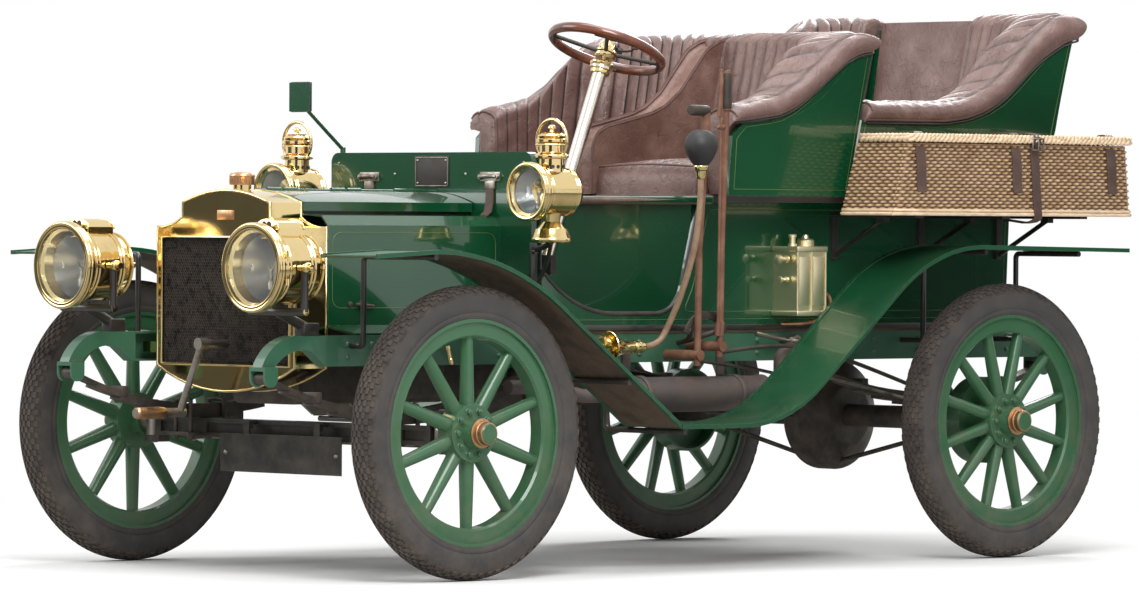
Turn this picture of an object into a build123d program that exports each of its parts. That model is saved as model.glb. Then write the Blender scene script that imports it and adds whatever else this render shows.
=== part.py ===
from build123d import *
import math
import os

os.makedirs("parts", exist_ok=True)

# Layout in millimetres: +X forward, +Y to the car's left, Z up from the ground
WHEELBASE = 2160
TRACK = 1420
FRONT_X = WHEELBASE / 2
REAR_X = -WHEELBASE / 2
WHEEL_Y = TRACK / 2

# Wheels
TYRE_R = 405
TYRE_HALF_W = 45
RIM_R = 313
RIM_HALF_W = 36
FELLOE_IN_R = 262
FELLOE_HALF_W = 27
HUB_R = 38
HUB_HALF_L = 62
FLANGE_R = 80
FLANGE_HALF_W = 29
CAP_R = 30
CAP_L = 33
SPINDLE_R = 17
SPINDLE_L = 46
RUN_GAP = 0.4
DRUM_R = 128
DRUM_W = 56
SPOKES = {"front": (10, 44, 42, 34, 32), "rear": (12, 42, 37, 34, 28)}

# Frame
RAIL_OUT_Y = 432
RAIL_W = 40
RAIL_BOTTOM = 584
RAIL_TOP = 668
RAIL_WEB = 7
RAIL_FLANGE = 6
RAIL_REAR_X = -1600
SPRING_Y = RAIL_OUT_Y - RAIL_W / 2
SPRING_W = 50
SPRING_HALF_L = 478
EYE_Z = 553
EYE_R = 17
EYE_PIN_R = 8
LEAF_T = 8
LEAVES = (478, 400, 310, 220, 130)

# Steering
KINGPIN_Y = 615
KINGPIN_R = 11
BARREL_R = 24
BARREL_HALF_H = 40
ARM_L = 150
ARM_Y = KINGPIN_Y
ARM_HALF_W = 12
ARM_PIN_R = 8
AXLE_TOP = 420
AXLE_BOTTOM = 366
COLUMN_Y = 235
WHEEL_X = 95
WHEEL_Z = 1485
COLUMN_RAKE = 21.7
STEER_R = 164
STEER_RIM_R = 13

# Nose
RAD_BACK = 1222
RAD_DEPTH = 120
RAD_FRONT = RAD_BACK + RAD_DEPTH
RAD_HALF_W = 293
RAD_TOP = 1068
STEP_Y = 186
STEP_TOP = RAD_TOP - 35
STEP_LOW = RAD_TOP - 77
SHOULDER = RAD_TOP - 103
CORE_HALF_W = 272
CORE_BOTTOM = 580
CORE_TOP = RAD_TOP - 131
CRANK_Z = 640
BONNET_T = 4
LID_GAP = 6
HINGE_Z = RAD_TOP + 1.5
ROD_R = 4.5
HINGE_R = 8
HINGE_L = 50
HINGE_COUNT = 3
HINGE_START = 30
LAMP_Y = 405
LAMP_Z = 855
LAMP_FRONT = 1600
SIDE_LAMP_Y = 540
SIDE_LAMP_Z = 1069
SIDE_LAMP_FRONT = 700

# Body
DASH_BACK = 540
DASH_FRONT = 570
DASH_HALF_W = 425
DASH_TOP = 1182
FLOOR_TOP = 690
BODY_OUT_Y = 436
BODY_T = 24
BOARD_Z = 1045
BOARD_T = 18
SEAT_Z = BOARD_Z + BOARD_T
BOARD_HALF_W = 540
BOARD_FRONT = -40
PANEL_T = 18
RAKE = 0.175
DOOR_Y = 212
DOOR_GAP_HINGE = 5
DOOR_GAP_LATCH = 13
WALL_T = 26
WALL = ((-1390, 690), (-1405, 1010), (-1490, 1270), (-1545, 1585))
PAD_OUT_Y = BOARD_HALF_W - 22
PAD_T = 60
PAD_IN_Y = PAD_OUT_Y - PAD_T
DIVIDER_Y = 38

# Wings
WING_OUT_Y = 785
WING_W = 235
WING_T = 4
BEAD_R = 6

# Hampers
HAMPER_IN_Y = 562
HAMPER_OUT_Y = 796
HAMPER_FRONT = -532
HAMPER_REAR = -1556
HAMPER_Z = 1010
HAMPER_H = 215
HAMPER_T = 14
LID_H = 24


def side(y):
    """A plane seen from the car's left; a negative extrusion goes to +Y."""
    return Plane(origin=(0, y, 0), x_dir=(1, 0, 0), z_dir=(0, -1, 0))


def front(x):
    """A plane facing forward; a positive extrusion goes to +X."""
    return Plane(origin=(x, 0, 0), x_dir=(0, 1, 0), z_dir=(1, 0, 0))


def level(z):
    """A flat plane at a height."""
    return Plane.XY.offset(z)


def save(builder, node):
    """Names a piece and writes it."""
    builder.part.label = node
    export_step(builder.part, f"parts/{node}.step")


def prism(plane, points, amount, mode=Mode.ADD):
    """Extrudes a polygon."""
    with BuildSketch(plane) as face:
        with BuildLine():
            Polyline(*points, close=True)
        make_face()
    extrude(face.sketch, amount=amount, mode=mode)


def block(x, y, z, mode=Mode.ADD):
    """A box between pairs of limits."""
    prism(level(z[0]), ((x[0], y[0]), (x[1], y[0]), (x[1], y[1]), (x[0], y[1])), z[1] - z[0], mode)


def bar(start, end, radius, mode=Mode.ADD):
    """A round bar between two points."""
    start = Vector(*start)
    way = Vector(*end) - start
    with BuildSketch(Plane(origin=start, z_dir=way)) as disc:
        Circle(radius)
    extrude(disc.sketch, amount=way.length, mode=mode)


def pipe(points, radius, bend):
    """A round rod bent along a path."""
    with BuildLine() as path:
        FilletPolyline(*points, radius=bend)
    with BuildSketch(Plane(origin=path.line @ 0, z_dir=path.line % 0)) as disc:
        Circle(radius)
    sweep(disc.sketch, path=path.line)


def turned(origin, along, points, soft=0, mode=Mode.ADD):
    """Revolves a profile of (radius, distance along the axis) points."""
    along = Vector(*along)
    across = Vector(0, 0, 1) if abs(along.X) > 0.9 else Vector(1, 0, 0)
    with BuildSketch(Plane(origin=origin, x_dir=across, z_dir=across.cross(along))) as face:
        with BuildLine():
            Polyline(*points, close=True)
        make_face()
        if soft:
            fillet([v for v in face.vertices() if v.X > 1], radius=soft)
    revolve(face.sketch, axis=Axis(origin, along), mode=mode)


def wall_x(z):
    """Outer face of the rear wall at a height."""
    for (x0, z0), (x1, z1) in zip(WALL, WALL[1:]):
        if z <= z1:
            return x0 + (x1 - x0) * (z - z0) / (z1 - z0)
    return WALL[-1][0]


def wall_line(low, high, shift):
    """Points up the rear wall between two heights, moved forward by a shift."""
    heights = [low] + [z for x, z in WALL if low < z < high] + [high]
    return [(wall_x(z) + shift, z) for z in heights]


# Wheels and tyres
for end, x in (("front", FRONT_X), ("rear", REAR_X)):
    count, root_w, root_t, tip_w, tip_t = SPOKES[end]
    for hand, hand_name in ((1, "left"), (-1, "right")):
        centre = Vector(x, hand * WHEEL_Y, TYRE_R)
        out = (0, hand, 0)
        with BuildPart() as tyre:
            turned(centre, out, (
                (RIM_R + RUN_GAP, -RIM_HALF_W), (TYRE_R - 60, -TYRE_HALF_W), (TYRE_R - 24, -TYRE_HALF_W + 5),
                (TYRE_R, -15), (TYRE_R, 15),
                (TYRE_R - 24, TYRE_HALF_W - 5), (TYRE_R - 60, TYRE_HALF_W), (RIM_R + RUN_GAP, RIM_HALF_W)))
        save(tyre, f"tyre_{end}_{hand_name}")
        with BuildPart() as wheel:
            bore = SPINDLE_R + RUN_GAP
            turned(centre, out, (
                (bore, -HUB_HALF_L), (HUB_R, -HUB_HALF_L), (HUB_R, -FLANGE_HALF_W), (FLANGE_R, -FLANGE_HALF_W),
                (FLANGE_R, FLANGE_HALF_W), (HUB_R + 8, FLANGE_HALF_W), (HUB_R, HUB_HALF_L), (CAP_R, HUB_HALF_L),
                (CAP_R, HUB_HALF_L + CAP_L - 5), (CAP_R - 5, HUB_HALF_L + CAP_L), (0, HUB_HALF_L + CAP_L),
                (0, SPINDLE_L + 4), (bore, SPINDLE_L + 4)))
            turned(centre, out, (
                (FELLOE_IN_R, -FELLOE_HALF_W + 6), (FELLOE_IN_R + 6, -FELLOE_HALF_W), (RIM_R - 9, -FELLOE_HALF_W),
                (RIM_R - 9, -RIM_HALF_W), (RIM_R, -RIM_HALF_W), (RIM_R, RIM_HALF_W), (RIM_R - 9, RIM_HALF_W),
                (RIM_R - 9, FELLOE_HALF_W), (FELLOE_IN_R + 6, FELLOE_HALF_W), (FELLOE_IN_R, FELLOE_HALF_W - 6)))
            for number in range(count):
                angle = 2 * math.pi * (number + 0.5) / count
                ray = Vector(math.cos(angle), 0, math.sin(angle))
                with BuildSketch(Plane(origin=centre + ray * (FLANGE_R - 12), x_dir=out, z_dir=ray)) as root:
                    SlotOverall(root_w, root_t)
                with BuildSketch(Plane(origin=centre + ray * (FELLOE_IN_R + 4), x_dir=out, z_dir=ray)) as tip:
                    SlotOverall(tip_w, tip_t)
                loft([root.sketch, tip.sketch], ruled=True)
            if end == "rear":
                turned(centre, out, (
                    (HUB_R - 2, -HUB_HALF_L), (DRUM_R - 8, -HUB_HALF_L), (DRUM_R - 8, -HUB_HALF_L - DRUM_W + 8),
                    (DRUM_R, -HUB_HALF_L - DRUM_W + 8), (DRUM_R, -HUB_HALF_L + 8), (HUB_R - 2, -HUB_HALF_L + 8)))
        save(wheel, f"wheel_{end}_{hand_name}")

# Front axle with a yoke round each knuckle
YOKE_IN_Y = KINGPIN_Y - BARREL_R - 19
EAR_H = 18
KNUCKLE_LOW = TYRE_R - BARREL_HALF_H
KNUCKLE_HIGH = TYRE_R + BARREL_HALF_H
with BuildPart() as front_axle:
    block((FRONT_X - 20, FRONT_X + 20), (-YOKE_IN_Y, YOKE_IN_Y), (AXLE_BOTTOM, AXLE_TOP))
    for face in (1, -1):
        for low, high in ((-360, 360), (470, YOKE_IN_Y - 10), (-YOKE_IN_Y + 10, -470)):
            near, far = sorted((FRONT_X + face * 9, FRONT_X + face * 25))
            block((near, far), (low, high), (AXLE_BOTTOM + 12, AXLE_TOP - 12), Mode.SUBTRACT)
    for hand in (1, -1):
        web = sorted((hand * (YOKE_IN_Y - 2), hand * (YOKE_IN_Y + 12)))
        block((FRONT_X - 20, FRONT_X + 20), web, (KNUCKLE_LOW - 1 - EAR_H, KNUCKLE_HIGH + 1 + EAR_H))
        for low in (KNUCKLE_LOW - 1 - EAR_H, KNUCKLE_HIGH + 1):
            reach = sorted((hand * YOKE_IN_Y, hand * KINGPIN_Y))
            block((FRONT_X - 20, FRONT_X + 20), reach, (low, low + EAR_H))
            ear = (FRONT_X, hand * KINGPIN_Y)
            bar((*ear, low), (*ear, low + EAR_H), BARREL_R + 2)
            bar((*ear, low), (*ear, low + EAR_H), KINGPIN_R + RUN_GAP, Mode.SUBTRACT)
save(front_axle, "front_axle")

# Steering knuckles
ARM_Z = 374
ARM_T = 16
ROD_Z = 350
ROD_T = 20
for hand, hand_name in ((1, "left"), (-1, "right")):
    with BuildPart() as knuckle:
        pivot = (FRONT_X, hand * KINGPIN_Y)
        bar((*pivot, KNUCKLE_LOW), (*pivot, KNUCKLE_HIGH), BARREL_R)
        bar((*pivot, KNUCKLE_LOW - EAR_H - 4), (*pivot, KNUCKLE_HIGH + EAR_H + 4), KINGPIN_R)
        hub_face = WHEEL_Y - HUB_HALF_L
        bar((FRONT_X, hand * KINGPIN_Y, TYRE_R), (FRONT_X, hand * (WHEEL_Y + SPINDLE_L), TYRE_R), SPINDLE_R)
        bar((FRONT_X, hand * KINGPIN_Y, TYRE_R), (FRONT_X, hand * (hub_face - 2), TYRE_R), SPINDLE_R + 11)
        end_x = FRONT_X - ARM_L
        prism(level(ARM_Z), (
            (FRONT_X + 8, hand * (KINGPIN_Y - ARM_HALF_W)), (FRONT_X + 8, hand * (KINGPIN_Y + ARM_HALF_W)),
            (end_x, hand * (ARM_Y + ARM_HALF_W)), (end_x, hand * (ARM_Y - ARM_HALF_W))), ARM_T)
        bar((end_x, hand * ARM_Y, ARM_Z), (end_x, hand * ARM_Y, ARM_Z + ARM_T), 16)
        bar((end_x, hand * ARM_Y, ROD_Z - 6), (end_x, hand * ARM_Y, ARM_Z + 2), ARM_PIN_R)
    save(knuckle, f"knuckle_{hand_name}")

# Track rod between the knuckle arms
with BuildPart() as track_rod:
    end_x = FRONT_X - ARM_L
    bar((end_x, -ARM_Y, ROD_Z + 10), (end_x, ARM_Y, ROD_Z + 10), 8.5)
    for hand in (1, -1):
        bar((end_x, hand * ARM_Y, ROD_Z), (end_x, hand * ARM_Y, ROD_Z + ROD_T), 17)
        bar((end_x, hand * ARM_Y, ROD_Z), (end_x, hand * ARM_Y, ROD_Z + ROD_T), ARM_PIN_R + RUN_GAP, Mode.SUBTRACT)
save(track_rod, "track_rod")

# Rear axle, bevel casing, truss rods and torque tube
TUBE_R = 34
CASING_R = 165
CASING_HALF_W = 85
GEARBOX_REAR = -60
SHAFT_Z = 540
with BuildPart() as rear_axle:
    tube_end = WHEEL_Y - HUB_HALF_L - 8
    bar((REAR_X, -tube_end, TYRE_R), (REAR_X, tube_end, TYRE_R), TUBE_R)
    turned((REAR_X, 0, TYRE_R), (0, 1, 0), (
        (0, -CASING_HALF_W), (90, -CASING_HALF_W), (CASING_R, -35), (CASING_R, 35), (90, CASING_HALF_W),
        (0, CASING_HALF_W)), soft=14)
    bar((REAR_X + 60, 0, TYRE_R + 10), (GEARBOX_REAR - 4.5, 0, SHAFT_Z), 28)
    for hand in (1, -1):
        bar((REAR_X, hand * (tube_end - 4), TYRE_R), (REAR_X, hand * (WHEEL_Y + SPINDLE_L), TYRE_R), SPINDLE_R)
        bar((REAR_X, hand * 560, TYRE_R - 20), (REAR_X, hand * 30, TYRE_R - CASING_R + 22), 7)
        seat = sorted((hand * (SPRING_Y - 30), hand * (SPRING_Y + 30)))
        block((REAR_X - 45, REAR_X + 45), seat, (TYRE_R, TYRE_R + TUBE_R + 4))
save(rear_axle, "rear_axle")

# Leaf springs, each pack stepped below its main leaf
with BuildPart() as leaf_springs:
    for x, seat in ((FRONT_X, AXLE_TOP), (REAR_X, TYRE_R + TUBE_R + 4)):
        middle = seat + LEAF_T * (len(LEAVES) - 0.5)
        drop = EYE_Z - middle
        radius = (SPRING_HALF_L**2 + drop**2) / (2 * drop)
        top = middle + radius
        for number, reach in enumerate(LEAVES):
            spread = math.asin(reach / radius)
            inner = radius + LEAF_T * (number - 0.5)
            outer = inner + LEAF_T
            across = math.sin(spread)
            down = math.cos(spread)
            with BuildSketch(side(SPRING_Y - SPRING_W / 2)) as leaf:
                with BuildLine():
                    ThreePointArc(
                        (x - inner * across, top - inner * down), (x, top - inner), (x + inner * across, top - inner * down))
                    Line((x + inner * across, top - inner * down), (x + outer * across, top - outer * down))
                    ThreePointArc(
                        (x + outer * across, top - outer * down), (x, top - outer), (x - outer * across, top - outer * down))
                    Line((x - outer * across, top - outer * down), (x - inner * across, top - inner * down))
                make_face()
            extrude(leaf.sketch, amount=-SPRING_W)
        for eye_x in (x - SPRING_HALF_L, x + SPRING_HALF_L):
            low = (eye_x, SPRING_Y - SPRING_W / 2, EYE_Z)
            high = (eye_x, SPRING_Y + SPRING_W / 2, EYE_Z)
            bar(low, high, EYE_R)
            bar(low, high, EYE_PIN_R + RUN_GAP, Mode.SUBTRACT)
    mirror(about=Plane.XZ)
save(leaf_springs, "leaf_springs")

# Side rails with dumb irons and spring hangers
HANGER_Y = (SPRING_Y - 32, SPRING_Y + 32)
IRON_X = FRONT_X + SPRING_HALF_L
with BuildPart() as frame_rails:
    with BuildSketch(side(RAIL_OUT_Y - RAIL_W)) as rail:
        with BuildLine():
            Polyline(
                (IRON_X - 158, RAIL_BOTTOM + 40), (IRON_X - 210, RAIL_BOTTOM), (RAIL_REAR_X, RAIL_BOTTOM),
                (RAIL_REAR_X, RAIL_TOP), (IRON_X - 128, RAIL_TOP))
            ThreePointArc((IRON_X - 128, RAIL_TOP), (IRON_X - 22, RAIL_TOP - 26), (IRON_X + 24, RAIL_BOTTOM))
            Line((IRON_X + 24, RAIL_BOTTOM), (IRON_X - 24, RAIL_BOTTOM))
            ThreePointArc((IRON_X - 24, RAIL_BOTTOM), (IRON_X - 70, RAIL_BOTTOM + 34), (IRON_X - 158, RAIL_BOTTOM + 40))
        make_face()
    extrude(rail.sketch, amount=-RAIL_W)
    block((RAIL_REAR_X + 30, IRON_X - 220), (RAIL_OUT_Y - RAIL_W, RAIL_OUT_Y - RAIL_WEB),
          (RAIL_BOTTOM + RAIL_FLANGE, RAIL_TOP - RAIL_FLANGE), Mode.SUBTRACT)
    for axle_x in (FRONT_X, REAR_X):
        for eye_x in (axle_x - SPRING_HALF_L, axle_x + SPRING_HALF_L):
            block((eye_x - 24, eye_x + 24), HANGER_Y, (EYE_Z, RAIL_BOTTOM))
            bar((eye_x, HANGER_Y[0], EYE_Z), (eye_x, HANGER_Y[1], EYE_Z), 24)
            block((eye_x - 26, eye_x + 26), (SPRING_Y - SPRING_W / 2 - 1, SPRING_Y + SPRING_W / 2 + 1),
                  (EYE_Z - 26, EYE_Z + 20), Mode.SUBTRACT)
            bar((eye_x, HANGER_Y[0], EYE_Z), (eye_x, HANGER_Y[1], EYE_Z), EYE_PIN_R)
    mirror(about=Plane.XZ)
save(frame_rails, "frame_rails")

# Cross members inside the rails
CROSS_MEMBERS = ((RAD_BACK - 26, 22, 620), (520, 40, 662), (-500, 40, 662), (-1320, 40, 662))
POCKET_Y = RAIL_OUT_Y - RAIL_WEB
POCKET_Z = RAIL_BOTTOM + RAIL_FLANGE
with BuildPart() as cross_members:
    for x, width, top in CROSS_MEMBERS:
        block((x, x + width), (-POCKET_Y, POCKET_Y), (POCKET_Z, top))
save(cross_members, "cross_members")

# Engine, one plain block on four feet
ENGINE_FRONT = RAD_BACK - 32
with BuildPart() as engine_block:
    block((DASH_FRONT + 70, ENGINE_FRONT), (-140, 140), (470, 930))
    fillet(engine_block.edges().filter_by(Axis.X), radius=25)
    for x in (DASH_FRONT + 110, ENGINE_FRONT - 80):
        block((x, x + 60), (-POCKET_Y, POCKET_Y), (POCKET_Z, POCKET_Z + 20))
save(engine_block, "engine_block")

# Gearbox block with its flywheel end
with BuildPart() as gearbox:
    block((GEARBOX_REAR, 290), (-125, 125), (470, 645))
    bar((290, 0, SHAFT_Z), (420, 0, SHAFT_Z), 115)
    for x in (60, 200):
        block((x, x + 45), (-POCKET_Y, POCKET_Y), (POCKET_Z, POCKET_Z + 20))
save(gearbox, "gearbox")

# Silencer with its hangers and pipes
PIPE_Y = 490
PIPE_Z = 492
PIPE_FRONT = 275
PIPE_REAR = -295
with BuildPart() as silencer:
    length = PIPE_FRONT - PIPE_REAR
    turned((PIPE_FRONT, PIPE_Y, PIPE_Z), (-1, 0, 0), (
        (0, 0), (50, 0), (54, 6), (54, 24), (51, 28), (51, length - 28), (54, length - 24), (54, length - 6),
        (50, length), (0, length)))
    pipe(((PIPE_REAR + 6, PIPE_Y, PIPE_Z), (PIPE_REAR - 70, PIPE_Y, PIPE_Z), (PIPE_REAR - 70, PIPE_Y, 600),
          (PIPE_REAR - 170, PIPE_Y - 20, 640)), 18, 30)
    pipe(((PIPE_FRONT - 6, PIPE_Y, PIPE_Z), (430, PIPE_Y, PIPE_Z), (560, 470, 520), (700, 470, 520)), 20, 50)
    for x in (190, -190):
        block((x, x + 30), (RAIL_OUT_Y, PIPE_Y), (PIPE_Z + 46, PIPE_Z + 54))
        block((x, x + 30), (RAIL_OUT_Y, RAIL_OUT_Y + 6), (PIPE_Z + 46, RAIL_TOP - 20))
save(silencer, "silencer")

# Radiator shell with stepped shoulders, and its core
with BuildPart() as radiator_shell:
    with BuildSketch(front(RAD_BACK)) as shell:
        with BuildLine():
            Line((-RAD_HALF_W, CORE_BOTTOM - 5), (-RAD_HALF_W, SHOULDER))
            ThreePointArc((-RAD_HALF_W, SHOULDER), (-238, SHOULDER + 5), (-STEP_Y, STEP_LOW))
            Line((-STEP_Y, STEP_LOW), (-STEP_Y, STEP_TOP))
            ThreePointArc((-STEP_Y, STEP_TOP), (0, RAD_TOP), (STEP_Y, STEP_TOP))
            Line((STEP_Y, STEP_TOP), (STEP_Y, STEP_LOW))
            ThreePointArc((STEP_Y, STEP_LOW), (238, SHOULDER + 5), (RAD_HALF_W, SHOULDER))
            Line((RAD_HALF_W, SHOULDER), (RAD_HALF_W, CORE_BOTTOM - 5))
            ThreePointArc((RAD_HALF_W, CORE_BOTTOM - 5), (0, 506), (-RAD_HALF_W, CORE_BOTTOM - 5))
        make_face()
    extrude(shell.sketch, amount=RAD_FRONT - RAD_BACK)
    block((RAD_BACK - 1, RAD_FRONT + 1), (-CORE_HALF_W, CORE_HALF_W), (CORE_BOTTOM, CORE_TOP), Mode.SUBTRACT)
    turned((RAD_BACK + RAD_DEPTH / 2, 0, RAD_TOP - 8), (0, 0, 1), (
        (0, 0), (26, 0), (26, 24), (33, 26), (33, 48), (27, 55), (0, 56)))
    for hand in (1, -1):
        lug = sorted((hand * (RAD_HALF_W - 2), hand * (RAIL_OUT_Y - RAIL_W)))
        block((RAD_BACK + 28, RAD_FRONT - 32), lug, (CORE_BOTTOM + 30, CORE_BOTTOM + 60))
save(radiator_shell, "radiator_shell")
with BuildPart() as radiator_core:
    block((RAD_BACK + 10, RAD_FRONT - 10), (-CORE_HALF_W, CORE_HALF_W), (CORE_BOTTOM, CORE_TOP))
    for number in range(17):
        y = -256 + 32 * number
        block((RAD_FRONT - 14, RAD_FRONT), (y - 4, y + 4), (CORE_BOTTOM, CORE_TOP), Mode.SUBTRACT)
    bar((RAD_BACK, 0, CRANK_Z), (RAD_FRONT, 0, CRANK_Z), 13, Mode.SUBTRACT)
save(radiator_core, "radiator_core")

# Bonnet sides with the hinge rod between the lids
with BuildPart() as bonnet_sides:
    out_y = RAD_HALF_W + 3
    prism(front(DASH_FRONT), (
        (STEP_Y + 4, RAD_TOP - 64), (268, RAD_TOP - 69), (out_y, RAD_TOP - 96), (out_y, 694), (410, RAIL_TOP + 6),
        (410, RAIL_TOP), (out_y - BONNET_T, 688), (out_y - BONNET_T, RAD_TOP - 98), (266, RAD_TOP - 73),
        (STEP_Y + 4, RAD_TOP - 68)), RAD_BACK - DASH_FRONT)
    mirror(about=Plane.XZ)
    bar((DASH_FRONT, 0, HINGE_Z), (RAD_BACK, 0, HINGE_Z), ROD_R)
save(bonnet_sides, "bonnet_sides")

# Bonnet lids, one arched half each
HINGE_PITCH = (RAD_BACK - DASH_FRONT - 2 * HINGE_START - 112) / (HINGE_COUNT - 1)
for hand, hand_name in ((1, "left"), (-1, "right")):
    with BuildPart() as lid:
        with BuildSketch(front(DASH_FRONT + LID_GAP)) as half:
            with BuildLine():
                edge = hand * (STEP_Y - 2)
                inner = hand * (STEP_Y - 2 - BONNET_T)
                rod_side = hand * (ROD_R + 1.5)
                crown = RAD_TOP + 1
                ThreePointArc((rod_side, crown), (hand * 95, crown - 8), (edge, crown - 32))
                Polyline((edge, crown - 32), (edge, crown - 57), (inner, crown - 57), (inner, crown - 35))
                ThreePointArc((inner, crown - 35), (hand * 94, crown - 12), (rod_side, crown - 4))
                Line((rod_side, crown - 4), (rod_side, crown))
            make_face()
        extrude(half.sketch, amount=RAD_BACK - DASH_FRONT - 2 * LID_GAP)
        for number in range(HINGE_COUNT):
            start = DASH_FRONT + HINGE_START + number * HINGE_PITCH
            own, other = (start, start + 60) if hand > 0 else (start + 60, start)
            bar((other - 2, 0, HINGE_Z), (other + HINGE_L + 2, 0, HINGE_Z), HINGE_R + 2, Mode.SUBTRACT)
            bar((own, 0, HINGE_Z), (own + HINGE_L, 0, HINGE_Z), HINGE_R)
            bar((own, 0, HINGE_Z), (own + HINGE_L, 0, HINGE_Z), ROD_R + RUN_GAP, Mode.SUBTRACT)
    save(lid, f"bonnet_lid_{hand_name}")

# Dashboard
with BuildPart() as dashboard:
    block((DASH_BACK, DASH_FRONT), (-DASH_HALF_W, DASH_HALF_W), (FLOOR_TOP, DASH_TOP))
    top_corners = dashboard.edges().filter_by(Axis.X).sort_by(Axis.Z)[-2:]
    fillet(top_corners, radius=28)
save(dashboard, "dashboard")

# Floor with the hole for the steering column
rake = math.radians(COLUMN_RAKE)
COLUMN_DIR = Vector(-math.sin(rake), 0, math.cos(rake))
STEER_HUB = Vector(WHEEL_X, COLUMN_Y, WHEEL_Z)


def on_column(z):
    """The point of the steering column's axis at a height."""
    return STEER_HUB + COLUMN_DIR * ((z - WHEEL_Z) / COLUMN_DIR.Z)


with BuildPart() as floor:
    block((wall_x(FLOOR_TOP), DASH_FRONT), (-BODY_OUT_Y, BODY_OUT_Y), (RAIL_TOP, FLOOR_TOP))
    bar(on_column(RAIL_TOP - 60), on_column(FLOOR_TOP + 60), 34, Mode.SUBTRACT)
save(floor, "floor")

# Lower body sides with the curved step-in opening
with BuildPart() as body_sides:
    with BuildSketch(side(BODY_OUT_Y - BODY_T)) as panel:
        with BuildLine():
            TangentArc((250, 722), (DASH_BACK, 850), tangent=(1, 0))
            Polyline((DASH_BACK, 850), (DASH_BACK, FLOOR_TOP), *wall_line(FLOOR_TOP, BOARD_Z, 0), (-92, BOARD_Z), (-27, 803))
            ThreePointArc((-27, 803), (13, 745), (80, 722))
            Line((80, 722), (250, 722))
        make_face()
    extrude(panel.sketch, amount=-BODY_T)
    mirror(about=Plane.XZ)
save(body_sides, "body_sides")

# Seat boxes under the front seats and the two rear corner seats
BODY_IN_Y = BODY_OUT_Y - BODY_T
with BuildPart() as seat_boxes:
    for x in (-95, -735):
        block((x, x + 20), (-BODY_IN_Y, BODY_IN_Y), (FLOOR_TOP, BOARD_Z))
    for hand in (1, -1):
        y = sorted((hand * 200, hand * 218))
        block((-1355, -930), y, (FLOOR_TOP, BOARD_Z))
        y = sorted((hand * 200, hand * BODY_IN_Y))
        block((-930, -912), y, (FLOOR_TOP, BOARD_Z))
save(seat_boxes, "seat_boxes")

# Seat board with the rear aisle and foot well cut out
with BuildPart() as seat_board:
    rear_edge = wall_x(BOARD_Z) + WALL_T
    block((rear_edge, BOARD_FRONT), (-BOARD_HALF_W, BOARD_HALF_W), (BOARD_Z, SEAT_Z))
    block((-912, -735), (-390, 390), (BOARD_Z, SEAT_Z), Mode.SUBTRACT)
    block((rear_edge - 1, -912), (-200, 200), (BOARD_Z, SEAT_Z), Mode.SUBTRACT)
    block((rear_edge - 1, rear_edge + 40), (-DOOR_Y - 6, DOOR_Y + 6), (BOARD_Z, SEAT_Z), Mode.SUBTRACT)
save(seat_board, "seat_board")


def flare(inset):
    """The flared section of the upper body, as points for one arc."""
    return ((BOARD_HALF_W - inset, SEAT_Z), (BOARD_HALF_W + 9 - inset, 1330), (BOARD_HALF_W + 38 - inset, 1600))


def flared_panel(outline):
    """A flared side panel on the car's left, cut to a side outline."""
    with BuildSketch(front(-1700)) as section:
        with BuildLine():
            low, mid, high = flare(0)
            low_in, mid_in, high_in = flare(PANEL_T)
            ThreePointArc(low, mid, high)
            Line(high, high_in)
            ThreePointArc(high_in, mid_in, low_in)
            Line(low_in, low)
        make_face()
    extrude(section.sketch, amount=1700)
    extrude(outline, amount=-700, mode=Mode.INTERSECT)


def inside_flare(narrow):
    """Keeps what lies between the flared sides, from a narrow inner limit."""
    with BuildSketch(front(-1700)) as section:
        with BuildLine():
            low, mid, high = flare(PANEL_T)
            ThreePointArc(low, mid, high)
            Polyline(high, (narrow, 1600), (narrow, FLOOR_TOP), (BODY_IN_Y, FLOOR_TOP), (BODY_IN_Y, SEAT_Z), low)
        make_face()
    extrude(section.sketch, amount=1700, mode=Mode.INTERSECT)


# Front seat panels: flared sides and the raked back between them
with BuildPart() as seat_sides:
    with BuildSketch(side(0)) as outline:
        with BuildLine():
            Polyline((-255, 1282), (-155, 1274), (-112, 1235), (-100, SEAT_Z), (-597, SEAT_Z), (-597 - RAKE * 437, 1500),
                     (-636, 1500))
            Line((-636, 1500), (-512, 1385))
            TangentArc((-255, 1282), (-512, 1385), tangent=(-1, 0))
        make_face()
    flared_panel(outline.sketch)
with BuildPart() as seat_back:
    prism(side(0), (
        (-577, SEAT_Z), (-595, SEAT_Z), (-595 - RAKE * 437, 1500), (-577 - RAKE * 437, 1500)), -600)
    inside_flare(0)
with BuildPart() as front_seat_panels:
    add(seat_sides.part)
    add(seat_back.part)
    mirror(about=Plane.XZ)
save(front_seat_panels, "front_seat_panels")

DOOR_HINGES = (1320, 1440)
DOOR_PIN_R = 4
DOOR_BARREL_R = 8
DOOR_BARREL_OFF = 9


def door_axis(z):
    """The point of the rear door's hinge line at a height."""
    (x0, z0), (x1, z1) = WALL[-2:]
    return (x0 + (x1 - x0) * (z - z0) / (z1 - z0) - DOOR_BARREL_OFF, -DOOR_Y + DOOR_GAP_HINGE / 2, z)


def leaf(low, high, near, far):
    """A hinge leaf laid on the rear wall between two heights."""
    prism(side(near), (*wall_line(low, high, 0), *wall_line(low, high, -6)[::-1]), near - far)


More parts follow.
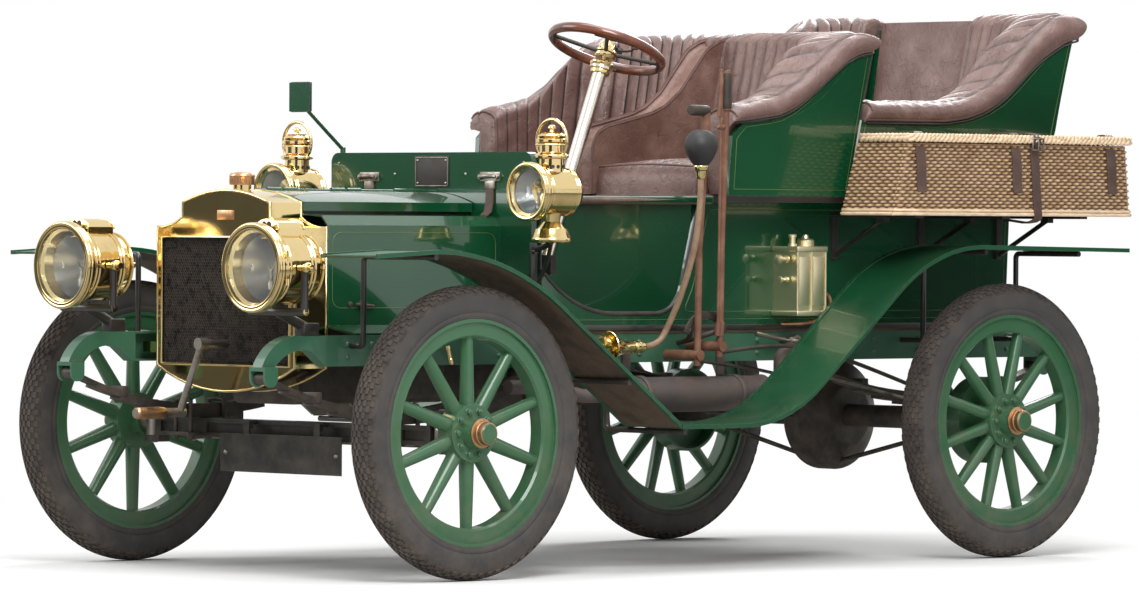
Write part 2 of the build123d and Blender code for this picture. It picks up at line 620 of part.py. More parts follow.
# Tonneau panels: flared sides and the corner panels beside the door
with BuildPart() as tonneau_sides:
    with BuildSketch(side(0)) as outline:
        with BuildLine():
            Polyline((-968, 1290), (-645, 1290), (-602, SEAT_Z), *wall_line(SEAT_Z, 1585, 0), (-1535, 1569), (-1318, 1408))
            TangentArc((-968, 1290), (-1318, 1408), tangent=(-1, 0))
        make_face()
    flared_panel(outline.sketch)
with BuildPart() as tonneau_corner:
    prism(side(0), (*wall_line(FLOOR_TOP, 1585, 0), *wall_line(FLOOR_TOP, 1585, WALL_T)[::-1]), -600)
    inside_flare(DOOR_Y)
with BuildPart() as tonneau_panels:
    add(tonneau_sides.part)
    add(tonneau_corner.part)
    mirror(about=Plane.XZ)
    for z in DOOR_HINGES:
        bar(door_axis(z - 30), door_axis(z + 30), DOOR_PIN_R)
        for low in (z - 30, z + 15):
            bar(door_axis(low), door_axis(low + 15), DOOR_BARREL_R)
            leaf(low, low + 15, -DOOR_Y - 33, -DOOR_Y - 3)
save(tonneau_panels, "tonneau_panels")

# Rear door, following the same wall line
with BuildPart() as rear_door:
    low_z = FLOOR_TOP + 8
    prism(side(-DOOR_Y + DOOR_GAP_HINGE),
          (*wall_line(low_z, 1575, 0), *wall_line(low_z, 1575, WALL_T)[::-1]),
          -(2 * DOOR_Y - DOOR_GAP_HINGE - DOOR_GAP_LATCH))
    for z in DOOR_HINGES:
        bar(door_axis(z - 12.5), door_axis(z + 12.5), DOOR_BARREL_R)
        leaf(z - 12.5, z + 12.5, -DOOR_Y + 8, -DOOR_Y + 40)
        bar(door_axis(z - 15), door_axis(z + 15), DOOR_PIN_R + RUN_GAP, Mode.SUBTRACT)
save(rear_door, "rear_door")
with BuildPart() as door_pad:
    prism(side(-DOOR_Y + DOOR_GAP_HINGE + 14),
          (*wall_line(SEAT_Z + 20, 1605, WALL_T + 0.5), *wall_line(SEAT_Z + 20, 1605, WALL_T + 36)[::-1]),
          -(2 * DOOR_Y - DOOR_GAP_HINGE - DOOR_GAP_LATCH - 28))
save(door_pad, "door_pad")

# Front seat backs, each a raked bucket with low arms and a lower divider on the inner side
with BuildPart() as front_buckets:
    with BuildSketch(level(SEAT_Z)) as bucket:
        with BuildLine():
            Polyline((-300, 8), (-300, DIVIDER_Y), (-505, DIVIDER_Y), (-505, PAD_IN_Y), (-95, PAD_IN_Y), (-95, PAD_OUT_Y),
                     (-575, PAD_OUT_Y), (-575, 8), close=True)
        make_face()
        fillet([v for v in bucket.vertices() if abs(v.X + 505) < 1], radius=110)
        fillet([v for v in bucket.vertices() if abs(v.X + 575) < 1], radius=50)
    extrude(bucket.sketch, amount=520, dir=(-RAKE, 0, 1))
    block((-500, -95), (PAD_IN_Y, PAD_OUT_Y), (SEAT_Z, 1400))
    with BuildSketch(side(0)) as outline:
        with BuildLine():
            Line((-95, SEAT_Z), (-95, 1280))
            ThreePointArc((-95, 1280), (-105, 1305), (-132, 1317))
            Line((-132, 1317), (-200, 1327))
            ThreePointArc((-200, 1327), (-297, 1355), (-350, 1395))
            Line((-350, 1395), (-465, 1490))
            ThreePointArc((-465, 1490), (-540, 1534), (-625, 1548))
            Polyline((-625, 1548), (-800, 1548), (-800, SEAT_Z), (-95, SEAT_Z))
        make_face()
    extrude(outline.sketch, amount=-700, mode=Mode.INTERSECT)
    block((-480, 0), (0, DIVIDER_Y + 0.5), (SEAT_Z - 1, 1600), Mode.SUBTRACT)
with BuildPart() as front_backs:
    add(front_buckets.part)
    with BuildSketch(side(8)) as outline:
        with BuildLine():
            Line((-50, SEAT_Z), (-50, 1200))
            ThreePointArc((-50, 1200), (-66, 1234), (-105, 1250))
            Line((-105, 1250), (-223, 1276))
            ThreePointArc((-223, 1276), (-338, 1312), (-404, 1358))
            Line((-404, 1358), (-516, 1488))
            Polyline((-516, 1488), (-600, 1520), (-540, SEAT_Z), (-50, SEAT_Z))
        make_face()
    extrude(outline.sketch, amount=-(DIVIDER_Y - 8))
    mirror(about=Plane.XZ)
save(front_backs, "front_backs")

# Rear seat backs, one round each corner
with BuildPart() as rear_backs:
    with BuildSketch(side(PAD_IN_Y)) as arm:
        with BuildLine():
            Polyline((-900, 1343), (-672, 1341), (-650, 1315), (-608, SEAT_Z),
                     *wall_line(SEAT_Z, 1627, WALL_T + 1), (-1480, 1627), (-1343, 1549), (-1224, 1448))
            TangentArc((-900, 1343), (-1224, 1448), tangent=(-1, 0))
        make_face()
    extrude(arm.sketch, amount=-PAD_T)
    prism(side(DOOR_Y + 14), (
        *wall_line(SEAT_Z, 1627, WALL_T + 1), *wall_line(SEAT_Z, 1627, WALL_T + 1 + PAD_T)[::-1]),
        -(PAD_IN_Y - DOOR_Y - 14))
    mirror(about=Plane.XZ)
save(rear_backs, "rear_backs")

# Seat cushions
with BuildPart() as cushions:
    with BuildSketch(level(SEAT_Z)) as squab:
        with BuildLine():
            Polyline((-52, DIVIDER_Y + 4), (-52, PAD_IN_Y - 4), (-500, PAD_IN_Y - 4), (-500, DIVIDER_Y + 4), close=True)
        make_face()
        fillet([v for v in squab.vertices() if abs(v.X + 500) < 1], radius=112)
    extrude(squab.sketch, amount=105)
    block((-1326, -925), (225, PAD_IN_Y - 6), (SEAT_Z, SEAT_Z + 95))
    fillet(cushions.faces().group_by(Axis.Z)[-1].edges(), radius=16)
    mirror(about=Plane.XZ)
save(cushions, "cushions")


def band(plane, path, up, down):
    """A strip of even height along a side curve of lines and arcs."""
    with BuildSketch(plane) as strip:
        with BuildLine():
            for shift in (up, -down):
                for points in path:
                    moved = [(x, z + shift) for x, z in points]
                    if len(moved) == 2:
                        Line(*moved)
                    else:
                        ThreePointArc(*moved)
            for x, z in (path[0][0], path[-1][-1]):
                Line((x, z + up), (x, z - down))
        make_face()
    return strip.sketch


# Wings: a front one with a flat tip and straight tail, a rear one rising from a flat step
WINGS = {
    "front_wings": (
        ((1475, 891), (1253, 903)),
        ((1253, 903), (1020, 867), (793, 755)),
        ((793, 755), (324, 415)),
    ),
    "rear_wings": (
        ((-1560, 911), (-920, 920)),
        ((-920, 920), (-734, 888), (-569, 794)),
        ((-569, 794), (-246, 526)),
        ((-246, 526), (-97, 441), (72, 412)),
        ((72, 412), (318, 412)),
    ),
}
for node, path in WINGS.items():
    with BuildPart() as wings:
        extrude(band(side(WING_OUT_Y - WING_W), path, 0, WING_T), amount=-WING_W)
        for y in (WING_OUT_Y - WING_W, WING_OUT_Y - 2 * BEAD_R):
            extrude(band(side(y), path, 4, WING_T + 4), amount=-2 * BEAD_R)
        mirror(about=Plane.XZ)
    save(wings, node)

# Wing irons and step irons from the rails
IRON_R = 8
WING_IRONS = ((1255, 640, 480, 886.7), (520, 620, 480, 538.5), (300, 610, 455, 395.8), (-940, 640, 520, 903.6),
              (-1345, 640, 520, 897.8))
with BuildPart() as wing_irons:
    for x, rail_z, knee_y, wing_z in WING_IRONS:
        pipe(((x, RAIL_OUT_Y, rail_z), (x, knee_y, rail_z), (x, knee_y, wing_z), (x, WING_OUT_Y - 10, wing_z)), IRON_R, 14)
    mirror(about=Plane.XZ)
save(wing_irons, "wing_irons")

# Headlamps on forked brackets, and side lamps beside the dash
with BuildPart() as headlamps:
    turned((LAMP_FRONT, LAMP_Y, LAMP_Z), (-1, 0, 0), (
        (104, 0), (117, 0), (122, 6), (122, 26), (106, 34), (100, 42), (98, 150), (84, 195), (55, 220), (0, 228),
        (0, 150), (50, 128), (85, 70), (96, 20), (104, 14)))
    with BuildSketch(front(LAMP_FRONT - 150)) as hood:
        with BuildLine():
            Polyline((LAMP_Y + 46, LAMP_Z + 108), (LAMP_Y + 46, LAMP_Z + 80), (LAMP_Y - 46, LAMP_Z + 80),
                     (LAMP_Y - 46, LAMP_Z + 108))
            ThreePointArc((LAMP_Y - 46, LAMP_Z + 108), (LAMP_Y, LAMP_Z + 131), (LAMP_Y + 46, LAMP_Z + 108))
        make_face()
    extrude(hood.sketch, amount=90)
    block((LAMP_FRONT - 145, LAMP_FRONT - 65), (LAMP_Y - 30, LAMP_Y + 30), (LAMP_Z + 80, LAMP_Z + 95))
    for prong in (LAMP_Y - 108, LAMP_Y + 108):
        bar((LAMP_FRONT - 100, prong, LAMP_Z - 120), (LAMP_FRONT - 100, prong, LAMP_Z + 12), 9)
        bar((LAMP_FRONT - 100, prong, LAMP_Z), (LAMP_FRONT - 100, LAMP_Y + (prong - LAMP_Y) * 0.88, LAMP_Z), 12)
    bar((LAMP_FRONT - 100, LAMP_Y - 116, LAMP_Z - 120), (LAMP_FRONT - 100, LAMP_Y + 116, LAMP_Z - 120), 10)
    bar((LAMP_FRONT - 100, LAMP_Y, LAMP_Z - 120), (IRON_X - 148, SPRING_Y, RAIL_TOP + 24), 13)
    block((IRON_X - 183, IRON_X - 130), (SPRING_Y - 18, SPRING_Y + 18), (RAIL_TOP, RAIL_TOP + 34))
    mirror(about=Plane.XZ)
save(headlamps, "headlamps")
with BuildPart() as side_lamps:
    turned((SIDE_LAMP_FRONT, SIDE_LAMP_Y, SIDE_LAMP_Z), (-1, 0, 0), (
        (70, 0), (78, 0), (81, 4), (81, 18), (72, 26), (66, 32), (66, 150), (52, 172), (0, 180),
        (0, 72), (40, 58), (62, 22), (62, 14), (70, 10)))
    stack = (SIDE_LAMP_FRONT - 98, SIDE_LAMP_Y, SIDE_LAMP_Z)
    turned(stack, (0, 0, 1), (
        (0, 48), (36, 48), (36, 92), (48, 96), (48, 104), (34, 109), (34, 136), (44, 140), (44, 147), (22, 163), (0, 167)))
    turned(stack, (0, 0, 1), ((0, -48), (30, -48), (24, -84), (44, -108), (52, -132), (52, -140), (0, -140)))
    with BuildLine() as bail:
        ThreePointArc((stack[0], SIDE_LAMP_Y - 42, SIDE_LAMP_Z + 99), (stack[0], SIDE_LAMP_Y, SIDE_LAMP_Z + 203),
                      (stack[0], SIDE_LAMP_Y + 42, SIDE_LAMP_Z + 99))
    with BuildSketch(Plane(origin=bail.line @ 0, z_dir=bail.line % 0)) as wire:
        Circle(5)
    sweep(wire.sketch, path=bail.line)
    bar((DASH_FRONT - 15, DASH_HALF_W + 10, SIDE_LAMP_Z - 30), (stack[0] - 30, SIDE_LAMP_Y - 30, SIDE_LAMP_Z - 30), 9)
    block((DASH_FRONT - 28, DASH_FRONT - 2), (DASH_HALF_W, DASH_HALF_W + 22), (SIDE_LAMP_Z - 60, SIDE_LAMP_Z))
    mirror(about=Plane.XZ)
save(side_lamps, "side_lamps")
with BuildPart() as lamp_glasses:
    turned((LAMP_FRONT, LAMP_Y, LAMP_Z), (-1, 0, 0), ((0, 3), (60, 4), (103.7, 7), (103.7, 13), (60, 9), (0, 8)))
    turned((SIDE_LAMP_FRONT, SIDE_LAMP_Y, SIDE_LAMP_Z), (-1, 0, 0), ((0, 2), (69.7, 4), (69.7, 9), (0, 7)))
    mirror(about=Plane.XZ)
save(lamp_glasses, "lamp_glasses")

# Steering column with its box on the left rail, and the steering wheel
with BuildPart() as steering_column:
    block((385, 490), (205, POCKET_Y), (POCKET_Z + 2, POCKET_Z + 62))
    bar(on_column(POCKET_Z + 40), on_column(1440), 20)
    bar(on_column(POCKET_Z + 40), on_column(1100), 25)
    bar(on_column(1425), on_column(1440), 34)
    bar(on_column(1435), STEER_HUB + COLUMN_DIR * 4, 8)
save(steering_column, "steering_column")
with BuildPart() as steering_wheel:
    with BuildSketch(Plane(origin=STEER_HUB, x_dir=(0, 1, 0), z_dir=(COLUMN_DIR.Z, 0, -COLUMN_DIR.X))) as rim:
        with Locations((STEER_R, 0)):
            Circle(STEER_RIM_R)
    revolve(rim.sketch, axis=Axis(STEER_HUB, COLUMN_DIR))
    bar(STEER_HUB - COLUMN_DIR * 28, STEER_HUB + COLUMN_DIR * 16, 30)
    across = Vector(COLUMN_DIR.Z, 0, -COLUMN_DIR.X)
    for number in range(4):
        angle = math.pi / 4 + number * math.pi / 2
        ray = across * math.cos(angle) + Vector(0, 1, 0) * math.sin(angle)
        bar(STEER_HUB - COLUMN_DIR * 10, STEER_HUB + ray * STEER_R, 7)
    bar(STEER_HUB - COLUMN_DIR * 29, STEER_HUB + COLUMN_DIR * 5, 8 + RUN_GAP, Mode.SUBTRACT)
save(steering_wheel, "steering_wheel")

# Hand levers outside the driver, on a cross shaft from the rail
LEVER_Y = BOARD_HALF_W + 18
with BuildPart() as levers:
    for foot, knee, top in (((-50, 600), (-52, 900), (-62, 1420)), ((40, 575), (38, 900), (22, 1310))):
        bar((foot[0], LEVER_Y, foot[1]), (knee[0], LEVER_Y + 3, knee[1]), 10)
        bar((knee[0], LEVER_Y + 3, knee[1]), (top[0], LEVER_Y + 10, top[1] - 110), 9)
        bar((top[0], LEVER_Y + 10, top[1] - 112), (top[0], LEVER_Y + 10, top[1]), 14)
        bar((foot[0], RAIL_OUT_Y, foot[1] + 30), (foot[0], LEVER_Y + 15, foot[1] + 30), 15)
save(levers, "levers")

# Pedals
with BuildPart() as pedals:
    for y in (180, 300):
        bar((470, y, FLOOR_TOP), (470, y, FLOOR_TOP + 12), 12)
        bar((470, y, FLOOR_TOP + 6), (405, y, 850), 9)
        block((380, 402), (y - 28, y + 28), (835, 890))
save(pedals, "pedals")

# Bulb horn with its flexible tube
with BuildPart() as horn:
    turned((101, 630, 1250), (0, 0, -1), ((0, 0), (30, 8), (48, 36), (46, 66), (24, 98), (15, 108), (15, 128), (0, 128)))
    pipe(((101, 630, 1124), (101, 630, 980), (110, 575, 800), (118, 520, 690), (150, 505, 630), (215, 505, 630)), 9, 24)
    turned((212, 505, 630), (1, 0, 0), ((0, 0), (14, 0), (18, 60), (44, 130), (41, 132), (13, 64), (9, 20), (0, 20)))
    block((226, 250), (RAIL_OUT_Y, 493), (626, 634))
save(horn, "horn")

# Acetylene generator on the body side
with BuildPart() as generator:
    block((-500, -390), (BODY_OUT_Y, 538), (727, 905))
    block((-506, -384), (BODY_OUT_Y, 543), (905, 915))
    block((-506, -384), (BODY_OUT_Y, 543), (717, 727))
    bar((-470, 490, 915), (-470, 490, 938), 22)
    bar((-415, 490, 915), (-415, 490, 946), 9)
save(generator, "generator")

# Mirror on its stalk
with BuildPart() as mirror_stalk:
    bar((555, -392, DASH_TOP), (555, -392, DASH_TOP + 16), 8)
    bar((555, -392, DASH_TOP + 10), (716, -392, 1322), 6)
    block((712, 722), (-440, -352), (1300, 1384))
save(mirror_stalk, "mirror")

# Blank number plate on straps from the axle
PLATE_Z = 327
with BuildPart() as number_plate:
    block((1132, 1135), (-257, 257), (PLATE_Z - 54, PLATE_Z + 54))
    for y in (150, -150):
        block((1126, 1132), (y - 12, y + 12), (PLATE_Z - 54, 404))
        block((FRONT_X + 20, 1126), (y - 12, y + 12), (AXLE_TOP - 12, AXLE_TOP - 4))
        block((1118, 1132), (y - 12, y + 12), (396, AXLE_TOP - 4))
    for y in (235, -235):
        bar((1131, y, PLATE_Z), (1136, y, PLATE_Z), 3.5, Mode.SUBTRACT)
save(number_plate, "number_plate")

# Starting handle
with BuildPart() as starting_handle:
    near = RAD_FRONT + 70
    far = RAD_FRONT + 100
    bar((ENGINE_FRONT, 0, CRANK_Z), (far, 0, CRANK_Z), 11)
    bar((near, 0, CRANK_Z), (far, 0, CRANK_Z), 17)
    bar(((near + far) / 2, 0, CRANK_Z), ((near + far) / 2, -92, CRANK_Z - 193), 10)
    bar((near, -92, CRANK_Z - 193), (far + 148, -92, CRANK_Z - 193), 13)
save(starting_handle, "starting_handle")


def basket(inset, low, high):
    """Lofts a hamper body between two heights."""
    with BuildSketch(level(low)) as base:
        with BuildLine():
            Polyline((HAMPER_FRONT - inset, HAMPER_IN_Y + inset), (HAMPER_FRONT - inset, HAMPER_OUT_Y - inset),
                     (HAMPER_REAR + inset, HAMPER_OUT_Y - inset), (HAMPER_REAR + inset, HAMPER_IN_Y + inset), close=True)
        make_face()
    with BuildSketch(level(high)) as top:
        with BuildLine():
            Polyline((HAMPER_FRONT - 70 - inset, HAMPER_IN_Y + inset), (HAMPER_FRONT - 70 - inset, HAMPER_OUT_Y - 18 - inset),
                     (HAMPER_REAR + inset, HAMPER_OUT_Y - 18 - inset), (HAMPER_REAR + inset, HAMPER_IN_Y + inset), close=True)
        make_face()
    loft([base.sketch, top.sketch], ruled=True, mode=Mode.ADD if inset == 0 else Mode.SUBTRACT)


# Wicker hampers, hollow, with lids on pinned hinges along their inner edges
LID_Z = HAMPER_Z + HAMPER_H + 0.6
PIN_Y = HAMPER_IN_Y + 8
PIN_Z = LID_Z + 6
PIN_R = 3
LOOP_R = 6
LID_HINGES = (-760, -1340)
with BuildPart() as hampers:
    basket(0, HAMPER_Z, HAMPER_Z + HAMPER_H)
    basket(HAMPER_T, HAMPER_Z + HAMPER_T, HAMPER_Z + HAMPER_H)
    for x in LID_HINGES:
        bar((x - 36, PIN_Y, PIN_Z), (x + 36, PIN_Y, PIN_Z), PIN_R)
        for end in (x - 36, x + 26):
            block((end, end + 10), (PIN_Y - 6, PIN_Y + 5), (LID_Z - 8, PIN_Z + 6))
    mirror(about=Plane.XZ)
save(hampers, "hampers")
for hand, hand_name in ((1, "left"), (-1, "right")):
    with BuildPart() as hamper_lid:
        y = sorted((hand * (HAMPER_IN_Y + 16), hand * (HAMPER_OUT_Y - 12)))
        block((HAMPER_REAR - 4, HAMPER_FRONT - 64), y, (LID_Z, LID_Z + LID_H))
        fillet(hamper_lid.faces().sort_by(Axis.Z)[-1].edges(), radius=10)
        for x in LID_HINGES:
            bar((x - 20, hand * PIN_Y, PIN_Z), (x + 20, hand * PIN_Y, PIN_Z), LOOP_R)
            strap = sorted((hand * PIN_Y, hand * (HAMPER_IN_Y + 20)))
            block((x - 20, x + 20), strap, (PIN_Z - 4, PIN_Z + 4))
            bar((x - 21, hand * PIN_Y, PIN_Z), (x + 21, hand * PIN_Y, PIN_Z), PIN_R + RUN_GAP, Mode.SUBTRACT)
    save(hamper_lid, f"hamper_lid_{hand_name}")

# Hamper irons on the body sides
with BuildPart() as hamper_irons:
    for x in (-640, -1010, -1350):
        block((x - 15, x + 15), (BODY_OUT_Y, HAMPER_OUT_Y - 8), (HAMPER_Z - 8, HAMPER_Z))
        block((x - 12, x + 12), (BODY_OUT_Y, BODY_OUT_Y + 12), (880, HAMPER_Z - 4))
        bar((x, BODY_OUT_Y + 9, 892), (x, 640, HAMPER_Z - 13), 7)
        block((x - 12, x + 12), (625, 655), (HAMPER_Z - 20, HAMPER_Z - 6))
    mirror(about=Plane.XZ)
save(hamper_irons, "hamper_irons")
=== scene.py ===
import bpy
import bmesh
import math
from mathutils import Matrix, Vector, noise


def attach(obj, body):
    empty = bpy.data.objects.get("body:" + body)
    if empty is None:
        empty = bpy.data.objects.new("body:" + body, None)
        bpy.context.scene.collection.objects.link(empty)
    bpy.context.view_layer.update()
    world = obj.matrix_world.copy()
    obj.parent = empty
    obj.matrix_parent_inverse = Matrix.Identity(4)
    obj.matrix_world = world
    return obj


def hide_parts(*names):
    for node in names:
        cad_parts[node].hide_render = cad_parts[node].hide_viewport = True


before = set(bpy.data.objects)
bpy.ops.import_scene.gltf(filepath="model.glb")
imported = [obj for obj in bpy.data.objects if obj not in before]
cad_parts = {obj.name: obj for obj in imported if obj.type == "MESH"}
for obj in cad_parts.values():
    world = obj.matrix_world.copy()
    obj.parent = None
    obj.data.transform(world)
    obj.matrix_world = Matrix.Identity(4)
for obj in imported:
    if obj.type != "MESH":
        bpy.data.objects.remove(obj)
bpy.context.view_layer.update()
scene = bpy.context.scene
FULL_TURN = 2 * math.pi
FORWARD = Vector((1, 0, 0))
LEFT = Vector((0, 1, 0))
UP = Vector((0, 0, 1))


# Points and lines of the drawing, which is in millimetres

def mm(x, y, z):
    """A point of the drawing, in metres."""
    return Vector((x, y, z)) / 1000


def path(*points):
    """A line through points of the drawing."""
    return [mm(*point) for point in points]


def at_length(x, points):
    """A line across the car at one length, from (y, z) points."""
    return [mm(x, y, z) for y, z in points]


def at_side(y, points):
    """A line along the car at one distance from its middle, from (x, z) points."""
    return [mm(x, y, z) for x, z in points]


# Modelling helpers

def put_down():
    """Leaves edit mode with nothing selected."""
    if bpy.context.mode != "OBJECT":
        bpy.ops.object.mode_set(mode="OBJECT")
    bpy.ops.object.select_all(action="DESELECT")


def take(piece):
    """Selects one piece alone."""
    put_down()
    piece.select_set(True)
    bpy.context.view_layer.objects.active = piece


def open_up(piece):
    """Opens one piece for editing with nothing selected."""
    take(piece)
    bpy.ops.object.mode_set(mode="EDIT")
    bpy.ops.mesh.select_mode(type="FACE")
    bpy.ops.mesh.select_all(action="DESELECT")


def settle(piece):
    """Merges doubles, turns the faces outwards and closes the edit."""
    bpy.ops.mesh.select_all(action="SELECT")
    bpy.ops.mesh.remove_doubles(threshold=0.00002)
    bpy.ops.mesh.normals_make_consistent(inside=False)
    bpy.ops.object.mode_set(mode="OBJECT")
    return piece


def pick_faces(piece, test):
    """Selects the faces that pass a test, in edit mode."""
    mesh = bmesh.from_edit_mesh(piece.data)
    for face in mesh.faces:
        face.select_set(test(face))
    bmesh.update_edit_mesh(piece.data)


def with_modifier(piece, kind, **settings):
    """Adds a modifier and applies it."""
    take(piece)
    modifier = piece.modifiers.new(kind.lower(), kind)
    for key, value in settings.items():
        setattr(modifier, key, value)
    bpy.ops.object.modifier_apply(modifier=modifier.name)
    return piece


def eased(piece, width, segments=2):
    """Rounds the sharp edges of a piece; the width is in millimetres."""
    return with_modifier(piece, "BEVEL", width=width / 1000, segments=segments, limit_method="ANGLE",
                         angle_limit=math.radians(40), harden_normals=False)


def both_sides(piece):
    """Adds the mirror image of a piece on the car's other side."""
    return with_modifier(piece, "MIRROR", use_axis=(False, True, False), use_mirror_merge=False)


def drawn(points):
    """Draws a line through points by extruding one vertex, left in edit mode."""
    put_down()
    bpy.ops.mesh.primitive_circle_add(vertices=3, radius=0.001)
    bpy.ops.object.mode_set(mode="EDIT")
    bpy.ops.mesh.select_mode(type="VERT")
    bpy.ops.mesh.select_all(action="SELECT")
    bpy.ops.mesh.merge(type="CENTER")
    bpy.ops.transform.translate(value=points[0])
    for last, point in zip(points, points[1:]):
        bpy.ops.mesh.extrude_region_move(TRANSFORM_OT_translate={"value": point - last})
    bpy.ops.mesh.select_all(action="SELECT")
    return bpy.context.object


def turned(profile, centre, along, steps=48):
    """Spins a profile of (radius, distance along the axis) points, in millimetres."""
    along = Vector(along).normalized()
    across = along.orthogonal().normalized()
    piece = drawn([centre + (across * r + along * d) / 1000 for r, d in profile])
    bpy.ops.mesh.spin(steps=steps, angle=FULL_TURN, center=centre, axis=along)
    return settle(piece)


def plate(outline, depth):
    """Fills a closed outline and extrudes it by a vector."""
    piece = drawn(outline)
    bpy.ops.mesh.edge_face_add()
    bpy.ops.mesh.extrude_region_move(TRANSFORM_OT_translate={"value": depth})
    return settle(piece)


def box(low, high, ease=1.5, segments=2):
    """A block between two corners, with eased edges."""
    put_down()
    low = mm(*low)
    high = mm(*high)
    bpy.ops.mesh.primitive_cube_add(size=1, location=(low + high) / 2, scale=high - low)
    piece = bpy.context.object
    bpy.ops.object.transform_apply(location=True, rotation=True, scale=True)
    return eased(piece, ease, segments)


def tube_of(name, points, radius, smooth, sides):
    """A round tube on a curve through points; a smooth one is a spline that they pull."""
    curve = bpy.data.curves.new(name, "CURVE")
    curve.dimensions = "3D"
    spline = curve.splines.new("NURBS" if smooth else "POLY")
    spline.points.add(len(points) - 1)
    for spot, point in zip(spline.points, points):
        spot.co = (*point, 1)
    if smooth:
        spline.order_u = 3
        spline.use_endpoint_u = True
        spline.resolution_u = 10
    curve.bevel_depth = radius / 1000
    curve.bevel_resolution = sides
    curve.use_fill_caps = True
    piece = bpy.data.objects.new(name, curve)
    bpy.context.collection.objects.link(piece)
    return piece


def rod(points, radius, smooth=True, sides=3):
    """A round rod along points; the radius is in millimetres."""
    put_down()
    take(tube_of("rod", points, radius, smooth, sides))
    bpy.ops.object.convert(target="MESH")
    piece = bpy.context.object
    bpy.ops.object.mode_set(mode="EDIT")
    return settle(piece)


def wire(points, radius, sides=2):
    """A rod that turns sharply at its points."""
    return rod(points, radius, False, sides)


def joined(*pieces):
    """Joins pieces into the first."""
    put_down()
    for piece in pieces:
        piece.select_set(True)
    bpy.context.view_layer.objects.active = pieces[0]
    bpy.ops.object.join()
    return bpy.context.object


def copied(piece, shift=(0, 0, 0), turn=None):
    """A copy with its own mesh, moved, or turned by a matrix about the origin."""
    take(piece)
    bpy.ops.object.duplicate()
    copy = bpy.context.object
    copy.data.transform(turn if turn is not None else Matrix.Translation(shift))
    return copy


def ring_of(piece, count, centre, axis):
    """Repeats a piece round an axis, all in one mesh."""
    open_up(piece)
    bpy.ops.mesh.select_all(action="SELECT")
    bpy.ops.mesh.spin(steps=count - 1, dupli=True, angle=FULL_TURN * (count - 1) / count, center=centre,
                      axis=axis)
    bpy.ops.object.mode_set(mode="OBJECT")
    return piece


def dress(piece, name, finish, slot, body="chassis", smooth=35):
    """Names a finished piece, gives it its finish and hangs it on its body."""
    take(piece)
    bpy.ops.object.transform_apply(location=True, rotation=True, scale=True)
    bpy.ops.object.shade_smooth_by_angle(angle=math.radians(smooth))
    piece.name = name
    piece.data.name = name
    piece.data.materials.clear()
    piece.data.materials.append(FINISH[finish])
    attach(piece, body)
    return piece


def dress_all(pieces, name, finish, slot, smooth, body="chassis"):
    """Joins pieces and dresses them as one."""
    return dress(joined(*pieces), name, finish, slot, body, smooth)


def dress_pair(pieces, name, finish, slot, smooth):
    """Joins the left side's pieces, adds the right side's and dresses them as one."""
    piece = joined(*pieces) if len(pieces) > 1 else pieces[0]
    return dress(both_sides(piece), name, finish, slot, smooth=smooth)


# Effects that several finishes share

def effect(name, inputs, outputs):
    """Starts a node group with named sockets; a socket's kind comes from its value or its name."""
    group = bpy.data.node_groups.new(name, "ShaderNodeTree")
    for label, value in inputs.items():
        kind = "NodeSocketColor" if isinstance(value, tuple) else "NodeSocketFloat"
        group.interface.new_socket(label, in_out="INPUT", socket_type=kind).default_value = value
    for label in outputs:
        kind = "NodeSocketColor" if label == "Colour" else "NodeSocketFloat"
        group.interface.new_socket(label, in_out="OUTPUT", socket_type=kind)
    return group, group.nodes.new("NodeGroupInput").outputs, group.nodes.new("NodeGroupOutput")


def node(tree, kind, links=None, **settings):
    """Adds a node; links name or number its inputs and give a socket or a value."""
    made = tree.nodes.new(kind)
    for key, value in settings.items():
        setattr(made, key, value)
    for key, value in (links or {}).items():
        if isinstance(value, bpy.types.NodeSocket):
            tree.links.new(value, made.inputs[key])
        else:
            made.inputs[key].default_value = value
    return made


def feed(tree, end, **sockets):
    """Links sockets to the inputs of the node that ends a finish or an effect."""
    for label, socket in sockets.items():
        tree.links.new(socket, end.inputs[label.replace("_", " ")])


def place_on(tree):
    """The place on the piece."""
    return node(tree, "ShaderNodeTexCoord").outputs["Object"]


def cloud(tree, place, scale, detail, rough=0.5):
    """Noise over a piece."""
    values = {"Vector": place, "Scale": scale, "Detail": detail, "Roughness": rough}
    return node(tree, "ShaderNodeTexNoise", values).outputs[0]


def maths(tree, operation, first, second=0.0):
    """One arithmetic step."""
    return node(tree, "ShaderNodeMath", {0: first, 1: second}, operation=operation).outputs[0]


def times(tree, first, second):
    """One value by another."""
    return maths(tree, "MULTIPLY", first, second)


def plus(tree, first, second):
    """One value and another."""
    return maths(tree, "ADD", first, second)


def faded(tree, value, low, high, to_low=0.0, to_high=1.0):
    """Maps a range of a value to another range, held at its ends."""
    return node(tree, "ShaderNodeMapRange", {0: value, 1: low, 2: high, 3: to_low, 4: to_high},
                interpolation_type="SMOOTHSTEP").outputs[0]


def tinted(tree, mask, first, second):
    """Mixes two colours by a mask."""
    return node(tree, "ShaderNodeMix", {0: mask, 6: first, 7: second}, data_type="RGBA").outputs[2]


def mottled_effect():
    """Two colours that drift into each other in soft patches."""
    inputs = {"Colour": (1, 1, 1, 1), "Patch": (0, 0, 0, 1), "Scale": 6.0, "Low": 0.45, "High": 0.75}
    group, given, end = effect("mottled", inputs, ("Colour", "Mask"))
    patches = cloud(group, place_on(group), given["Scale"], 6.0, 0.62)
    mask = faded(group, patches, given["Low"], given["High"])
    feed(group, end, Colour=tinted(group, mask, given["Colour"], given["Patch"]), Mask=mask)
    return group


